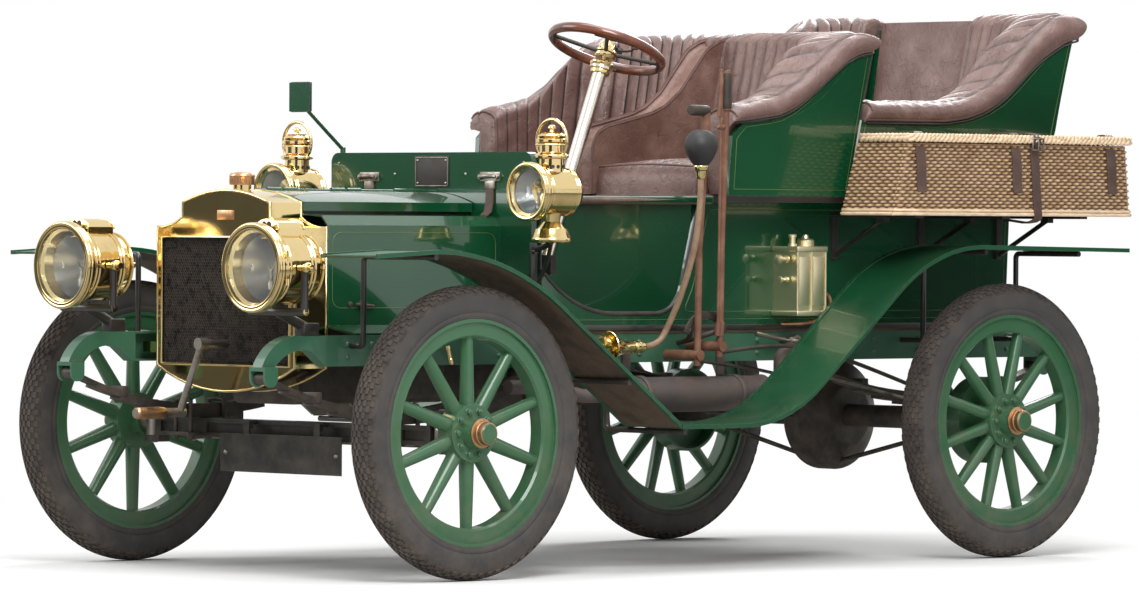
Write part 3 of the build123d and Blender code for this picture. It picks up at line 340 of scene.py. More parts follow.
def rubbed_effect():
    """A mask along outside edges, broken up by noise."""
    group, given, end = effect("rubbed_edges", {"Scale": 60.0, "Low": 0.02, "High": 0.25}, ("Mask",))
    soft = node(group, "ShaderNodeBevel", {"Radius": 0.004}, samples=4).outputs[0]
    plain = node(group, "ShaderNodeNewGeometry").outputs["Normal"]
    apart = node(group, "ShaderNodeVectorMath", {0: soft, 1: plain}, operation="DOT_PRODUCT")
    edge = maths(group, "SUBTRACT", 1.0, apart.outputs["Value"])
    speck = cloud(group, place_on(group), given["Scale"], 4.0)
    worn = times(group, edge, faded(group, speck, 0.35, 0.7, 0.0, 2.0))
    feed(group, end, Mask=faded(group, worn, given["Low"], given["High"]))
    return group


def dusty_effect():
    """Road dust: it lies on what faces up and thickens towards the ground."""
    inputs = {"Colour": (1, 1, 1, 1), "Dust": (0.2, 0.16, 0.12, 1), "Amount": 0.4, "Reach": 0.9}
    group, given, end = effect("road_dust", inputs, ("Colour", "Mask"))
    coords = node(group, "ShaderNodeTexCoord").outputs
    high = node(group, "ShaderNodeSeparateXYZ", {0: coords["Object"]}).outputs[2]
    upward = node(group, "ShaderNodeSeparateXYZ", {0: coords["Normal"]}).outputs[2]
    low = maths(group, "SUBTRACT", 1.0, maths(group, "DIVIDE", high, given["Reach"]))
    lies = plus(group, times(group, faded(group, upward, 0.2, 1.0), 0.35), faded(group, low, 0.0, 1.0))
    patches = faded(group, cloud(group, coords["Object"], 14.0, 8.0, 0.7), 0.3, 0.75)
    mask = times(group, times(group, lies, patches), given["Amount"])
    feed(group, end, Colour=tinted(group, mask, given["Colour"], given["Dust"]), Mask=mask)
    return group


def grain_effect():
    """Fine pits and pores."""
    group, given, end = effect("fine_grain", {"Scale": 300.0, "Coarse": 20.0}, ("Height",))
    place = place_on(group)
    fine = cloud(group, place, given["Scale"], 3.0)
    feed(group, end, Height=plus(group, fine, times(group, cloud(group, place, given["Coarse"], 3.0), 0.8)))
    return group


def hide_effect():
    """Leather: pebbled cells with creases, and where they are rubbed."""
    group, given, end = effect("hide", {"Scale": 260.0, "Crease": 16.0}, ("Height", "Worn"))
    place = place_on(group)
    stir = node(group, "ShaderNodeTexNoise", {"Vector": place, "Scale": 40.0, "Detail": 3.0}).outputs["Color"]
    shift = node(group, "ShaderNodeVectorMath", {0: stir, "Scale": 0.006}, operation="SCALE").outputs[0]
    moved = node(group, "ShaderNodeVectorMath", {0: place, 1: shift}, operation="ADD").outputs[0]
    cells = node(group, "ShaderNodeTexVoronoi", {"Vector": moved, "Scale": given["Scale"]},
                 feature="DISTANCE_TO_EDGE").outputs["Distance"]
    pebble = faded(group, cells, 0.0, 0.35)
    fold = cloud(group, moved, given["Crease"], 5.0, 0.6)
    crease = faded(group, maths(group, "ABSOLUTE", maths(group, "SUBTRACT", fold, 0.5)), 0.0, 0.05)
    worn = faded(group, cloud(group, place, 5.0, 7.0, 0.65), 0.42, 0.72)
    feed(group, end, Height=plus(group, times(group, pebble, 0.35), crease), Worn=worn)
    return group


MOTTLED = mottled_effect()
RUBBED = rubbed_effect()
DUSTY = dusty_effect()
GRAIN = grain_effect()
HIDE = hide_effect()


def place_effect(tree, group, **values):
    """Places an effect in a finish with its own values."""
    return node(tree, "ShaderNodeGroup", values, node_tree=group)


def finish(name, **sockets):
    """Starts a finish with plain values on the shader's own sockets."""
    made = bpy.data.materials.new(name)
    made.use_nodes = True
    shader = made.node_tree.nodes["Principled BSDF"]
    for label, value in sockets.items():
        shader.inputs[label.replace("_", " ")].default_value = value
    return made, made.node_tree, shader


def bumped(tree, shader, height, strength, distance=0.001):
    """Feeds a height to the shader's normal."""
    made = node(tree, "ShaderNodeBump", {"Strength": strength, "Distance": distance, "Height": height})
    feed(tree, shader, Normal=made.outputs[0])


def grained(tree, shader, fine, coarse_scale, strength):
    """Feeds the fine grain to the shader's normal."""
    bumped(tree, shader, place_effect(tree, GRAIN, Scale=fine, Coarse=coarse_scale).outputs[0], strength)


def paint(name, colour, patch, rough, dust, wear, coat=1.0, wear_colour=(0.12, 0.2, 0.14, 1), reach=0.9):
    """Coach paint: drifting tone, rubbed edges and road dust under a clear coat."""
    made, tree, shader = finish(name, Coat_Roughness=0.04, Specular_IOR_Level=0.5)
    tone = place_effect(tree, MOTTLED, Colour=colour, Patch=patch, Scale=3.0, Low=0.35, High=0.8)
    rubbed = place_effect(tree, RUBBED, Scale=70.0, Low=0.03, High=0.3)
    mask = times(tree, rubbed.outputs[0], wear)
    worn = tinted(tree, mask, tone.outputs[0], wear_colour)
    dirty = place_effect(tree, DUSTY, Colour=worn, Amount=dust, Reach=reach)
    dull = plus(tree, times(tree, dirty.outputs[1], 0.6), times(tree, mask, 0.25))
    feed(tree, shader, Base_Color=dirty.outputs[0], Roughness=plus(tree, dull, rough),
         Coat_Weight=faded(tree, dull, 0.0, 0.5, coat, 0.0))
    grained(tree, shader, 160.0, 9.0, 0.04)
    return made


def metal(name, colour, patch, rough, rough_patch, low=0.5, high=0.8, scale=7.0, bump=0.05, dust=0.0):
    """Bare metal with patches of tarnish."""
    made, tree, shader = finish(name, Metallic=1.0)
    tone = place_effect(tree, MOTTLED, Colour=colour, Patch=patch, Scale=scale, Low=low, High=high)
    dirty = place_effect(tree, DUSTY, Colour=tone.outputs[0], Amount=dust, Reach=0.9,
                         Dust=(0.07, 0.05, 0.035, 1))
    spread = faded(tree, tone.outputs[1], 0.0, 1.0, rough, rough_patch)
    feed(tree, shader, Base_Color=dirty.outputs[0],
         Roughness=plus(tree, spread, times(tree, dirty.outputs[1], 0.5)))
    grained(tree, shader, 240.0, 12.0, bump)
    return made


def coarse(name, colour, patch, rough, dust, scale=12.0, bump=0.25, grain=220.0):
    """A dull surface: cast iron, rubber, oiled or rusty steel."""
    made, tree, shader = finish(name)
    tone = place_effect(tree, MOTTLED, Colour=colour, Patch=patch, Scale=scale, Low=0.4, High=0.7)
    dirty = place_effect(tree, DUSTY, Colour=tone.outputs[0], Amount=dust, Reach=1.1)
    feed(tree, shader, Base_Color=dirty.outputs[0],
         Roughness=faded(tree, tone.outputs[1], 0.0, 1.0, rough, min(1.0, rough + 0.2)))
    grained(tree, shader, grain, 30.0, bump)
    return made


def leather(name, colour, worn_colour, rough, strength=0.5):
    """Old hide: pebbled, creased and rubbed pale, with dark seam lines and painted shade in the grooves along
    its seams.
    """
    made, tree, shader = finish(name, Sheen_Weight=0.12, Sheen_Roughness=0.4)
    hide = place_effect(tree, HIDE, Scale=240.0, Crease=14.0)
    tone = place_effect(tree, MOTTLED, Colour=colour, Patch=worn_colour, Scale=9.0, Low=0.4, High=0.85)
    rubbed = place_effect(tree, RUBBED, Scale=40.0, Low=0.02, High=0.3)
    both = maths(tree, "MAXIMUM", times(tree, hide.outputs[1], 0.45), times(tree, rubbed.outputs[0], 0.5))
    pale = tinted(tree, both, tone.outputs[0], worn_colour)
    # The seam mark is a dark stitched line plus painted shade in the grooves of the flutes and the roll,
    # mixed towards near black.
    seam = node(tree, "ShaderNodeAttribute", attribute_name="seam").outputs["Fac"]
    feed(tree, shader, Base_Color=tinted(tree, times(tree, seam, 0.85), pale, (0.02, 0.01, 0.008, 1)),
         Roughness=faded(tree, hide.outputs[1], 0.0, 1.0, rough, rough + 0.14))
    bumped(tree, shader, hide.outputs[0], strength, 0.0008)
    return made


def wooden(name, colour, dark, rough, coat, along):
    """Grained wood; the grain runs along one axis."""
    made, tree, shader = finish(name, Coat_Weight=coat, Coat_Roughness=0.12)
    squeezed = node(tree, "ShaderNodeMapping", {"Vector": place_on(tree), "Scale": along}).outputs[0]
    rings = cloud(tree, squeezed, 9.0, 8.0, 0.65)
    mask = faded(tree, rings, 0.35, 0.68)
    rubbed = place_effect(tree, RUBBED, Scale=50.0, Low=0.05, High=0.4)
    worn = times(tree, rubbed.outputs[0], 0.3)
    feed(tree, shader, Base_Color=tinted(tree, worn, tinted(tree, mask, colour, dark), (0.35, 0.2, 0.1, 1)),
         Roughness=faded(tree, mask, 0.0, 1.0, rough, rough + 0.15))
    bumped(tree, shader, rings, 0.15)
    return made


def cane(name, pale_tone, dark_tone, patch):
    """Peeled willow: every strand its own tan, with painted shade in the gaps between."""
    made, tree, shader = finish(name, Specular_IOR_Level=0.35)
    flat = node(tree, "ShaderNodeMapping", {"Vector": place_on(tree), "Scale": (0.25, 0.25, 1.0)}).outputs[0]
    strand = cloud(tree, flat, 90.0, 4.0, 0.6)
    pale = tinted(tree, faded(tree, strand, 0.32, 0.68), pale_tone, dark_tone)
    aged = place_effect(tree, MOTTLED, Colour=pale, Patch=patch, Scale=4.0, Low=0.4, High=0.8)
    # Painted shade: the weave's gaps go near black and its crests keep the cane's own tan.
    gap = node(tree, "ShaderNodeAttribute", attribute_name="painted_weave_light").outputs["Fac"]
    feed(tree, shader, Base_Color=tinted(tree, gap, (0.05, 0.024, 0.01, 1), aged.outputs[0]),
         Roughness=faded(tree, strand, 0.0, 1.0, 0.45, 0.75))
    bumped(tree, shader, strand, 0.3)
    return made


def clear_glass(name):
    """Old lamp glass, a little wavy."""
    made, tree, shader = finish(name, Transmission_Weight=1.0, IOR=1.45, Base_Color=(0.93, 0.95, 0.94, 1))
    wave = cloud(tree, place_on(tree), 14.0, 2.0)
    feed(tree, shader, Roughness=faded(tree, wave, 0.3, 0.7, 0.03, 0.1))
    bumped(tree, shader, wave, 0.05)
    return made


FINISH = {
    "green": paint("green_coach_paint", (0.003, 0.066, 0.023, 1), (0.002, 0.048, 0.017, 1), 0.22, 0.1, 0.35),
    "wing_green": paint("wing_paint", (0.003, 0.07, 0.025, 1), (0.002, 0.045, 0.016, 1), 0.36, 0.15, 0.5,
                        0.25, reach=0.7),
    "wheel_green": paint("wheel_paint", (0.022, 0.105, 0.04, 1), (0.034, 0.125, 0.053, 1), 0.36, 0.3, 0.7,
                         0.5),
    "frame_green": paint("frame_paint", (0.026, 0.11, 0.06, 1), (0.045, 0.145, 0.085, 1), 0.4, 0.14, 0.9, 0.3,
                         (0.1, 0.11, 0.09, 1), 1.3),
    "black": paint("black_paint", (0.012, 0.011, 0.011, 1), (0.022, 0.019, 0.017, 1), 0.36, 0.3, 0.6, 0.4,
                   (0.1, 0.085, 0.07, 1), 1.2),
    "line": paint("lining_paint", (0.11, 0.17, 0.045, 1), (0.07, 0.12, 0.035, 1), 0.4, 0.1, 0.0, 0.4),
    "silver": paint("plate_border_paint", (0.6, 0.6, 0.58, 1), (0.4, 0.4, 0.38, 1), 0.5, 0.3, 0.0, 0.1),
    "brass": metal("polished_brass", (0.82, 0.64, 0.32, 1), (0.58, 0.4, 0.17, 1), 0.09, 0.26, 0.48, 0.85),
    "pale_brass": metal("pale_brass", (0.86, 0.78, 0.53, 1), (0.68, 0.58, 0.34, 1), 0.4, 0.52),
    "nickel": metal("worn_nickel", (0.83, 0.75, 0.66, 1), (0.66, 0.56, 0.44, 1), 0.16, 0.32),
    "copper": metal("copper_brass", (0.62, 0.36, 0.2, 1), (0.34, 0.19, 0.1, 1), 0.28, 0.5, 0.45, 0.7, 20.0,
                    0.15),
    "hose": coarse("wound_hose", (0.3, 0.19, 0.12, 1), (0.2, 0.12, 0.07, 1), 0.4, 0.1, 30.0, 0.3),
    "mud": coarse("muddy_steel", (0.075, 0.046, 0.026, 1), (0.045, 0.03, 0.019, 1), 0.75, 0.2, 18.0, 0.5),
    "steel": metal("bare_steel", (0.42, 0.39, 0.35, 1), (0.16, 0.12, 0.09, 1), 0.34, 0.6, 0.42, 0.7, 16.0,
                   0.12, 0.4),
    "mirror": metal("silvered", (0.44, 0.45, 0.47, 1), (0.34, 0.35, 0.37, 1), 0.34, 0.5, 0.45, 0.85, 8.0,
                    0.03),
    "iron": coarse("oily_iron", (0.022, 0.018, 0.016, 1), (0.05, 0.034, 0.024, 1), 0.5, 0.5),
    "rust": coarse("burnt_steel", (0.066, 0.054, 0.056, 1), (0.1, 0.07, 0.06, 1), 0.5, 0.25, 9.0, 0.3),
    "red_lead": coarse("rusted_brown", (0.15, 0.062, 0.032, 1), (0.24, 0.12, 0.075, 1), 0.55, 0.1, 20.0, 0.3),
    "rubber": coarse("black_rubber", (0.016, 0.016, 0.017, 1), (0.028, 0.027, 0.027, 1), 0.5, 0.1, 20.0,
                     0.15),
    "tyre": coarse("tyre_rubber", (0.04, 0.038, 0.038, 1), (0.062, 0.056, 0.052, 1), 0.72, 0.25, 8.0, 0.3,
                   180.0),
    "tread": coarse("road_worn_tread", (0.055, 0.044, 0.038, 1), (0.032, 0.027, 0.025, 1), 0.85, 0.3, 24.0,
                    0.6, 260.0),
    "leather": leather("mauve_leather", (0.13, 0.069, 0.058, 1), (0.275, 0.175, 0.152, 1), 0.3, 0.8),
    "brown_leather": leather("brown_leather", (0.155, 0.079, 0.06, 1), (0.33, 0.2, 0.16, 1), 0.32, 0.8),
    "strap": leather("strap_leather", (0.06, 0.03, 0.022, 1), (0.14, 0.08, 0.06, 1), 0.55),
    "piping": leather("piping_leather", (0.1, 0.05, 0.043, 1), (0.2, 0.12, 0.1, 1), 0.5, 0.25),
    "rim_wood": wooden("polished_mahogany", (0.17, 0.04, 0.012, 1), (0.06, 0.013, 0.004, 1), 0.25, 0.8,
                       (3.0, 0.6, 3.0)),
    "board_wood": wooden("floor_boards", (0.11, 0.07, 0.042, 1), (0.05, 0.03, 0.018, 1), 0.6, 0.05,
                         (0.25, 6.0, 2.0)),
    "cane": cane("willow_cane", (0.78, 0.53, 0.32, 1), (0.52, 0.315, 0.165, 1), (0.62, 0.43, 0.26, 1)),
    "pale_cane": cane("pale_willow_cane", (0.84, 0.66, 0.46, 1), (0.6, 0.43, 0.27, 1), (0.72, 0.55, 0.38, 1)),
    "glass": clear_glass("lamp_glass"),
}

NODE_FINISH = {
    "green": ("bonnet_sides", "bonnet_lid_left", "bonnet_lid_right", "dashboard", "body_sides",
              "front_seat_panels", "tonneau_panels", "rear_door", "seat_boxes", "mirror"),
    "wing_green": ("front_wings", "rear_wings"),
    "wheel_green": tuple(f"wheel_{end}_{hand}" for end in ("front", "rear") for hand in ("left", "right")),
    "frame_green": ("frame_rails",),
    "black": ("seat_board", "wing_irons", "hamper_irons", "number_plate", "cross_members", "front_axle",
              "pedals"),
    "brass": ("radiator_shell", "headlamps", "side_lamps"),
    "nickel": ("steering_column",),
    "pale_brass": ("generator",),
    "steel": ("starting_handle", "track_rod", "knuckle_left", "knuckle_right"),
    "iron": ("radiator_core", "engine_block", "gearbox", "rear_axle", "leaf_springs"),
    "rust": ("silencer",),
    "red_lead": ("levers",),
    "board_wood": ("floor",),
    "glass": ("lamp_glasses",),
}
for label, names in NODE_FINISH.items():
    for name in names:
        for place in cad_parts[name].material_slots:
            place.material = FINISH[label]

# Upholstery, padded skins over the seats' solids
SEAT_Z = 1063
PAD_LOW = SEAT_Z + 4
BODY_SIDE = 540
FLARE_HEIGHT = 537
PLEAT = 44
SOFT_STEP = PLEAT / 8
OUT_D = 100
HALF_OUT = 50
OUTER_CORNER = 12
END_ROUND = 18
FACE_POINTS = 16
ROLL_POINTS = 19
ROLL_SEAM = 11
UNDER_POINTS = 5


def on_line(table, x):
    """Height of a side line at a length, softened at its corners."""
    total = 0
    for shift in (-24, -12, 0, 12, 24):
        spot = min(max(x + shift, table[0][0]), table[-1][0])
        for (x0, z0), (x1, z1) in zip(table, table[1:]):
            if spot <= x1:
                total += z0 + (z1 - z0) * (spot - x0) / (x1 - x0)
                break
    return total / 5


def flare_y(z):
    """Outer face of the flared upper body at a height, in millimetres."""
    share = (z - SEAT_Z) / FLARE_HEIGHT
    return BODY_SIDE - 1.5 * share + 39.5 * share * share


def eased_step(value, low, high):
    """A smooth rise from 0 to 1 between two limits."""
    share = min(max((value - low) / (high - low), 0), 1)
    return share * share * (3 - 2 * share)


def skin(rings, marks=None, label="seam"):
    """A closed skin over rings of points, capped at both ends; marks carry the painted shade of its seam
    grooves or of the gaps between its strands.
    """
    count = len(rings[0])
    last = (len(rings) - 1) * count
    faces = [(i + j, i + (j + 1) % count, i + count + (j + 1) % count, i + count + j)
             for i in range(0, last, count) for j in range(count)]
    faces.append(tuple(range(count)))
    faces.append(tuple(range(last + count - 1, last - 1, -1)))
    mesh = bpy.data.meshes.new("skin")
    mesh.from_pydata([point for ring in rings for point in ring], [], faces)
    if marks:
        mesh.attributes.new(label, "FLOAT", "POINT").data.foreach_set("value", marks)
    piece = bpy.data.objects.new("skin", mesh)
    bpy.context.collection.objects.link(piece)
    open_up(piece)
    return settle(piece)


class SeatBack:
    """One padded arm and back round a corner: its plan, its side lines and its rake."""

    def __init__(self, front, arm_y, back, end_y, corner, crest, edge, rake, slant=0.0):
        self.front, self.arm_y, self.back, self.end_y = front, arm_y, back, end_y
        self.corner, self.crest, self.edge, self.rake, self.slant = corner, crest, edge, rake, slant
        self.arm = front - back - corner
        self.bend = corner * math.pi / 2
        self.length = self.arm + self.bend + arm_y - corner - end_y
        self.straight = self.length - 2 * END_ROUND
        self.steps = round(self.straight / SOFT_STEP)
        self.pleat = 8 * self.straight / self.steps

    def plan(self, run, out):
        """A point of the plan: how far along, and how far out from the inner face."""
        tight = OUTER_CORNER
        if run < self.arm:
            share = max(run, 0) / self.arm
            inner = Vector((self.front - run, self.arm_y))
            far = self.front - self.back + OUT_D - tight
            outer = Vector((self.front - far * share - min(run, 0), self.arm_y + OUT_D))
        elif run < self.arm + self.bend:
            angle = (run - self.arm) / self.corner
            way = Vector((-math.sin(angle), math.cos(angle)))
            inner = Vector((self.back + self.corner, self.arm_y - self.corner)) + way * self.corner
            outer = Vector((self.back - OUT_D + tight, self.arm_y + OUT_D - tight)) + way * tight
        else:
            share = (run - self.arm - self.bend) / (self.length - self.arm - self.bend)
            top = self.arm_y - self.corner
            wide = self.arm_y + OUT_D - tight
            inner = Vector((self.back, top + (self.end_y - top) * share))
            outer = Vector((self.back - OUT_D, wide + (self.end_y - wide) * share))
        return inner + (outer - inner) * (out / OUT_D)

    def lean(self, run):
        """How far the section leans back for each millimetre of height."""
        start = self.slant * (1 - eased_step(run, 20, 240))
        return start + self.rake * eased_step(run, self.arm * 0.45, self.arm + self.bend * 0.8)

    def heights(self, run):
        """Crest and lower edge of the roll."""
        plan_x = self.plan(run, HALF_OUT).x
        crest = self.crest[-1][1]
        edge = crest
        for turn in range(6):
            crest = on_line(self.crest, plan_x - self.lean(run) * (crest - SEAT_Z))
            edge = on_line(self.edge, plan_x - self.lean(run) * (edge - SEAT_Z))
        return crest, edge

    def follow(self, run, out, z):
        """A height of the outer half, moved to the side line at the point's own length."""
        if out < HALF_OUT or z < SEAT_Z + 30:
            return z
        lean = self.lean(run)
        start = on_line(self.crest, self.plan(run, HALF_OUT).x - lean * (z - SEAT_Z))
        lift = 0
        for turn in range(4):
            lift = on_line(self.crest, self.plan(run, out).x - lean * (z + lift - SEAT_Z)) - start
        return z + lift

    def place(self, run, out, z):
        """A point of the skin in metres."""
        spot = self.plan(run, out)
        return mm(spot.x - self.lean(run) * (z - SEAT_Z), spot.y, z)

    def panel_out(self, run, z):
        """How far out the painted panel's face is at a height."""
        side = flare_y(z) - self.arm_y
        return side + (92 - side) * eased_step(run, self.arm, self.arm + self.bend)

    def wave(self, run):
        """Nought at a sewn seam, one between two seams."""
        return abs(math.sin(math.pi * (run - END_ROUND) / self.pleat))

    def flute(self, run):
        """Height of the sewn flutes: sharp at the seams, round between them, lower on the arm."""
        strong = 0.35 + 0.65 * eased_step(run, self.arm * 0.35, self.arm * 0.95)
        return 7.5 * strong * (math.sqrt(self.wave(run)) - 0.55)

    def seams(self, run):
        """How dark each point of a section is: a dark seam line and painted shade in the flute grooves and in
        the groove at the roll.
        """
        dark = 1 - eased_step(self.wave(run), 0.0, 0.4)
        over = [1 - eased_step(number, ROLL_SEAM - 2, ROLL_SEAM) for number in range(ROLL_POINTS)]
        marks = [dark * share for share in [1] * FACE_POINTS + over + [0] * (UNDER_POINTS + 2)]
        # The groove where the pleats end at the roll: a dark seam line and painted shade.
        marks[FACE_POINTS + ROLL_SEAM] = 0.8
        return marks

    def ring(self, run, less=0.0):
        """One section, from the seat up the inner face, over the roll and down to the panel."""
        crest, edge = self.heights(run)
        flute = self.flute(run)
        rise = min(max(0.6 * (crest - edge), 30), 56)
        middle = crest - rise
        outer = self.panel_out(run, self.follow(run, OUT_D, edge)) + 17
        half = (outer + 8) / 2
        points = []
        for number in range(FACE_POINTS):
            u = number / FACE_POINTS
            sway = 9 * math.sin(math.pi * u) + 8 * u
            puff = flute * min(1, 6 * u + 0.2)
            crease = 3.5 * noise.noise((run / 70, u * 6, 3.1))
            points.append((-sway - puff - crease, PAD_LOW + (middle - PAD_LOW) * u))
        for number in range(ROLL_POINTS):
            angle = math.pi * (1 - number / (ROLL_POINTS - 1))
            keep = 1 - 0.9 * eased_step(number, ROLL_SEAM - 2, ROLL_SEAM + 1)
            groove = 4.5 * max(0, 1 - abs(number - ROLL_SEAM))
            wrinkle = 4.5 * noise.noise((run / 22 + number / 9, number / 10, 7.7)) * math.sin(angle)
            swell = flute * keep + wrinkle - groove
            points.append((half - 8 + (half + swell) * math.cos(angle),
                           middle + (rise + swell) * math.sin(angle)))
        for number in range(1, UNDER_POINTS + 1):
            angle = math.pi / 2 * number / UNDER_POINTS
            points.append((outer - 15 * (1 - math.cos(angle)), middle - (middle - edge) * math.sin(angle)))
        points += [(62, edge - 6), (60, PAD_LOW)]
        moved = []
        for out, z in points:
            near = min(max(40 - out, -less), less)
            moved.append((out + near, self.follow(run, out, z) - (less if z > SEAT_Z + 30 else 0)))
        return moved

    def skin(self, closed_end):
        """The whole pad, with a rounded front and, where it shows, a rounded end."""
        angles = [math.pi / 2 * step / 4 for step in (1, 2, 3, 4)]
        rounding = [(END_ROUND * math.sin(angle), END_ROUND * (1 - math.cos(angle))) for angle in angles]
        stations = [(END_ROUND - along, less) for along, less in reversed(rounding)]
        stations += [(END_ROUND + self.straight * number / self.steps, 0.0)
                     for number in range(self.steps + 1)]
        for along, less in rounding:
            stations.append((self.length - END_ROUND + along, less if closed_end else 0.0))
        rings = [[self.place(run, out, z) for out, z in self.ring(run, less)] for run, less in stations]
        return skin(rings, [mark for run, less in stations for mark in self.seams(run)])

    def edge_line(self):
        """Points along the roll's lower edge, for its piping."""
        points = []
        for number in range(61):
            run = 4 + (self.length - 8) * number / 60
            edge = self.heights(run)[1]
            out = self.panel_out(run, self.follow(run, OUT_D, edge)) + 5
            points.append(self.place(run, out, self.follow(run, out, edge) + 1))
        return points

    def face_line(self, run):
        """Points up the arm's front, for its piping."""
        return [self.place(run - 3, out - 2, z) for out, z in self.ring(run)[2:FACE_POINTS + ROLL_POINTS - 1]]


FRONT_BACK = SeatBack(
    front=-95, arm_y=458, back=-505, end_y=2, corner=110, rake=0.175,
    crest=((-700, 1547), (-620, 1547), (-553, 1521), (-475, 1464), (-420, 1422), (-364, 1384), (-300, 1356),
           (-204, 1338), (-130, 1324), (-95, 1302)),
    edge=((-700, 1508), (-636, 1501), (-589, 1484), (-544, 1459), (-455, 1386), (-411, 1350), (-355, 1318),
          (-300, 1298), (-179, 1284), (-95, 1276)))
REAR_BACK = SeatBack(front=-612, arm_y=458, back=-1335, end_y=217, corner=95, rake=0.236, slant=0.19,
                     crest=((-1600, 1628), (-1500, 1624), (-1418, 1576), (-1371, 1541), (-1266, 1445),
                            (-1219, 1412), (-1161, 1383), (-1091, 1361), (-1010, 1350), (-620, 1344)),
                     edge=((-1620, 1586), (-1564, 1580), (-1493, 1550), (-1434, 1512), (-1340, 1428),
                           (-1293, 1390), (-1246, 1356), (-1188, 1328), (-1118, 1306), (-1049, 1295),
                           (-968, 1290), (-600, 1289)))
for seat, name, node_name, closed_end in ((FRONT_BACK, "front_seat_leather", "front_backs", False),
                                          (REAR_BACK, "rear_seat_leather", "rear_backs", True)):
    hide = both_sides(seat.skin(closed_end))
    dress(hide, name, "leather", "leather", smooth=60)
    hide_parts(node_name)
    beading = [wire(seat.edge_line(), 5), wire(seat.face_line(14), 3.5)]
    dress_pair(beading, f"{name}_piping", "piping", "leather", 60)

# Padded divider between the front seats, with a piped band over its S-shaped crest
DIVIDER_CREST = ((-50, 1068), (-48, 1120), (-48, 1180), (-52, 1208), (-66, 1234), (-105, 1252),
                 (-160, 1263), (-223, 1277), (-285, 1292), (-338, 1313), (-404, 1360), (-460, 1424),
                 (-516, 1486), (-560, 1508), (-610, 1520))
DIVIDER_STEPS = 84


def divider_side(share, inset):
    """A point of the divider's outline, moved in from its rim."""
    place = share * (len(DIVIDER_CREST) - 1)
    index = min(int(place), len(DIVIDER_CREST) - 2)
    first, second = DIVIDER_CREST[index], DIVIDER_CREST[index + 1]
    part = place - index
    x = first[0] + (second[0] - first[0]) * part
    z = first[1] + (second[1] - first[1]) * part
    way = Vector((second[0] - first[0], second[1] - first[1])).normalized()
    return x - way.y * inset, z + way.x * inset


def divider_rings():
    """Sections across the divider: a rounded rim, with soft sides that fall to the seat."""
    rings = []
    for number in range(DIVIDER_STEPS + 1):
        share = number / DIVIDER_STEPS
        ring = []
        for step in range(25):
            angle = math.pi * step / 24
            y = 43 * math.copysign(abs(math.cos(angle)) ** 0.6, math.cos(angle))
            x, z = divider_side(share, 24 * abs(math.sin(angle)) ** 0.7 - 22)
            ring.append(mm(x, y, z))
        base_x, base_z = divider_side(share, -60)
        base_x = min(max(base_x, -560), -74)
        fall = max(base_z, PAD_LOW + 8) - PAD_LOW
        for y, height in ((-39, 0.55), (-36, 0.2), (-34, 0.0), (34, 0.0), (36, 0.2), (39, 0.55)):
            ring.append(mm(base_x, y, PAD_LOW + fall * height))
        rings.append(ring)
    return rings


divider = dress(skin(divider_rings()), "seat_divider_leather", "brown_leather", "leather", smooth=60)
divider_rim = [divider_side(n / DIVIDER_STEPS, -14) for n in range(DIVIDER_STEPS + 1)]
rims = [wire(at_side(y, divider_rim), 3.2) for y in (-41, 41)]
dress_all(rims, "seat_divider_piping", "piping", "leather", 60)


# Cushions, crowned and fluted from front to back
def cushion(x, y, z, height, corner, nose):
    """A crowned pad whose sides pull in between its corners."""
    rings = []
    marks = []
    middle, half = (x[0] + x[1]) / 2, (x[1] - x[0]) / 2
    width = y[1] - y[0]
    across = round(width / SOFT_STEP)
    pleat = 8 * width / across
    for number in range(41):
        angle = math.pi * (1 - number / 40)
        along = math.copysign(abs(math.cos(angle)) ** 0.3, math.cos(angle))
        rise = abs(math.sin(angle)) ** 0.45
        ring = []
        for step in range(across + 1):
            u = step / across
            wide = y[0] + width * u
            edge = min(u, 1 - u) * width
            pull = corner * max(0, 1 - edge / corner) ** 2
            side = math.sqrt(max(0.0, 1 - max(0.0, 1 - edge / 26) ** 2))
            wave = abs(math.sin(math.pi * (wide - y[0]) / pleat))
            flute = 5 * (math.sqrt(wave) - 0.4)
            swell = nose * math.sin(math.pi * u) * max(0, along) ** 8
            sag = 4 * noise.noise((wide / 60, along * 3, 1.7))
            crown = 0.82 + 0.18 * math.sin(math.pi * u) ** 0.6 * math.cos(along * 1.1)
            top = height * crown * (0.8 + 0.2 * side)
            place_x = middle + along * (half - pull * (along < 0)) + swell
            ring.append(mm(place_x, wide, z + rise * (top + (flute + sag) * rise)))
            # Dark seam lines and painted shade in the grooves between the flutes.
            marks.append((1 - eased_step(wave, 0.0, 0.4)) * (along < 0.93))
        marks += [0, 0]
        rings.append(ring)
    return skin(closed_under(rings, z), marks)


def closed_under(rows, z):
    """Closes rows of an upper skin with a flat underside."""
    return [row + [Vector((point.x, point.y, z / 1000)) for point in (row[-1], row[0])] for row in rows]


def cushion_seam(x, swell, y, width, high, rise):
    """Piping along a cushion's front edge."""
    points = []
    for number in range(21):
        bow = math.sin(math.pi * number / 20)
        points.append(mm(x + swell * bow, y + width * number / 20, SEAT_Z + high + rise * bow))
    return wire(points, 3.2)


seats = joined(cushion((-500, -52), (42, 454), SEAT_Z, 108, 90, 14),
               cushion((-1326, -925), (225, 452), SEAT_Z, 96, 10, 10))
squabs = dress(both_sides(seats), "seat_cushions", "leather", "leather", smooth=60)
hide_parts("cushions")
seams = [cushion_seam(-58, 12, 48, 400, 84, 7), cushion_seam(-930, 8, 230, 217, 74, 6)]
dress_pair(seams, "cushion_piping", "piping", "leather", 60)

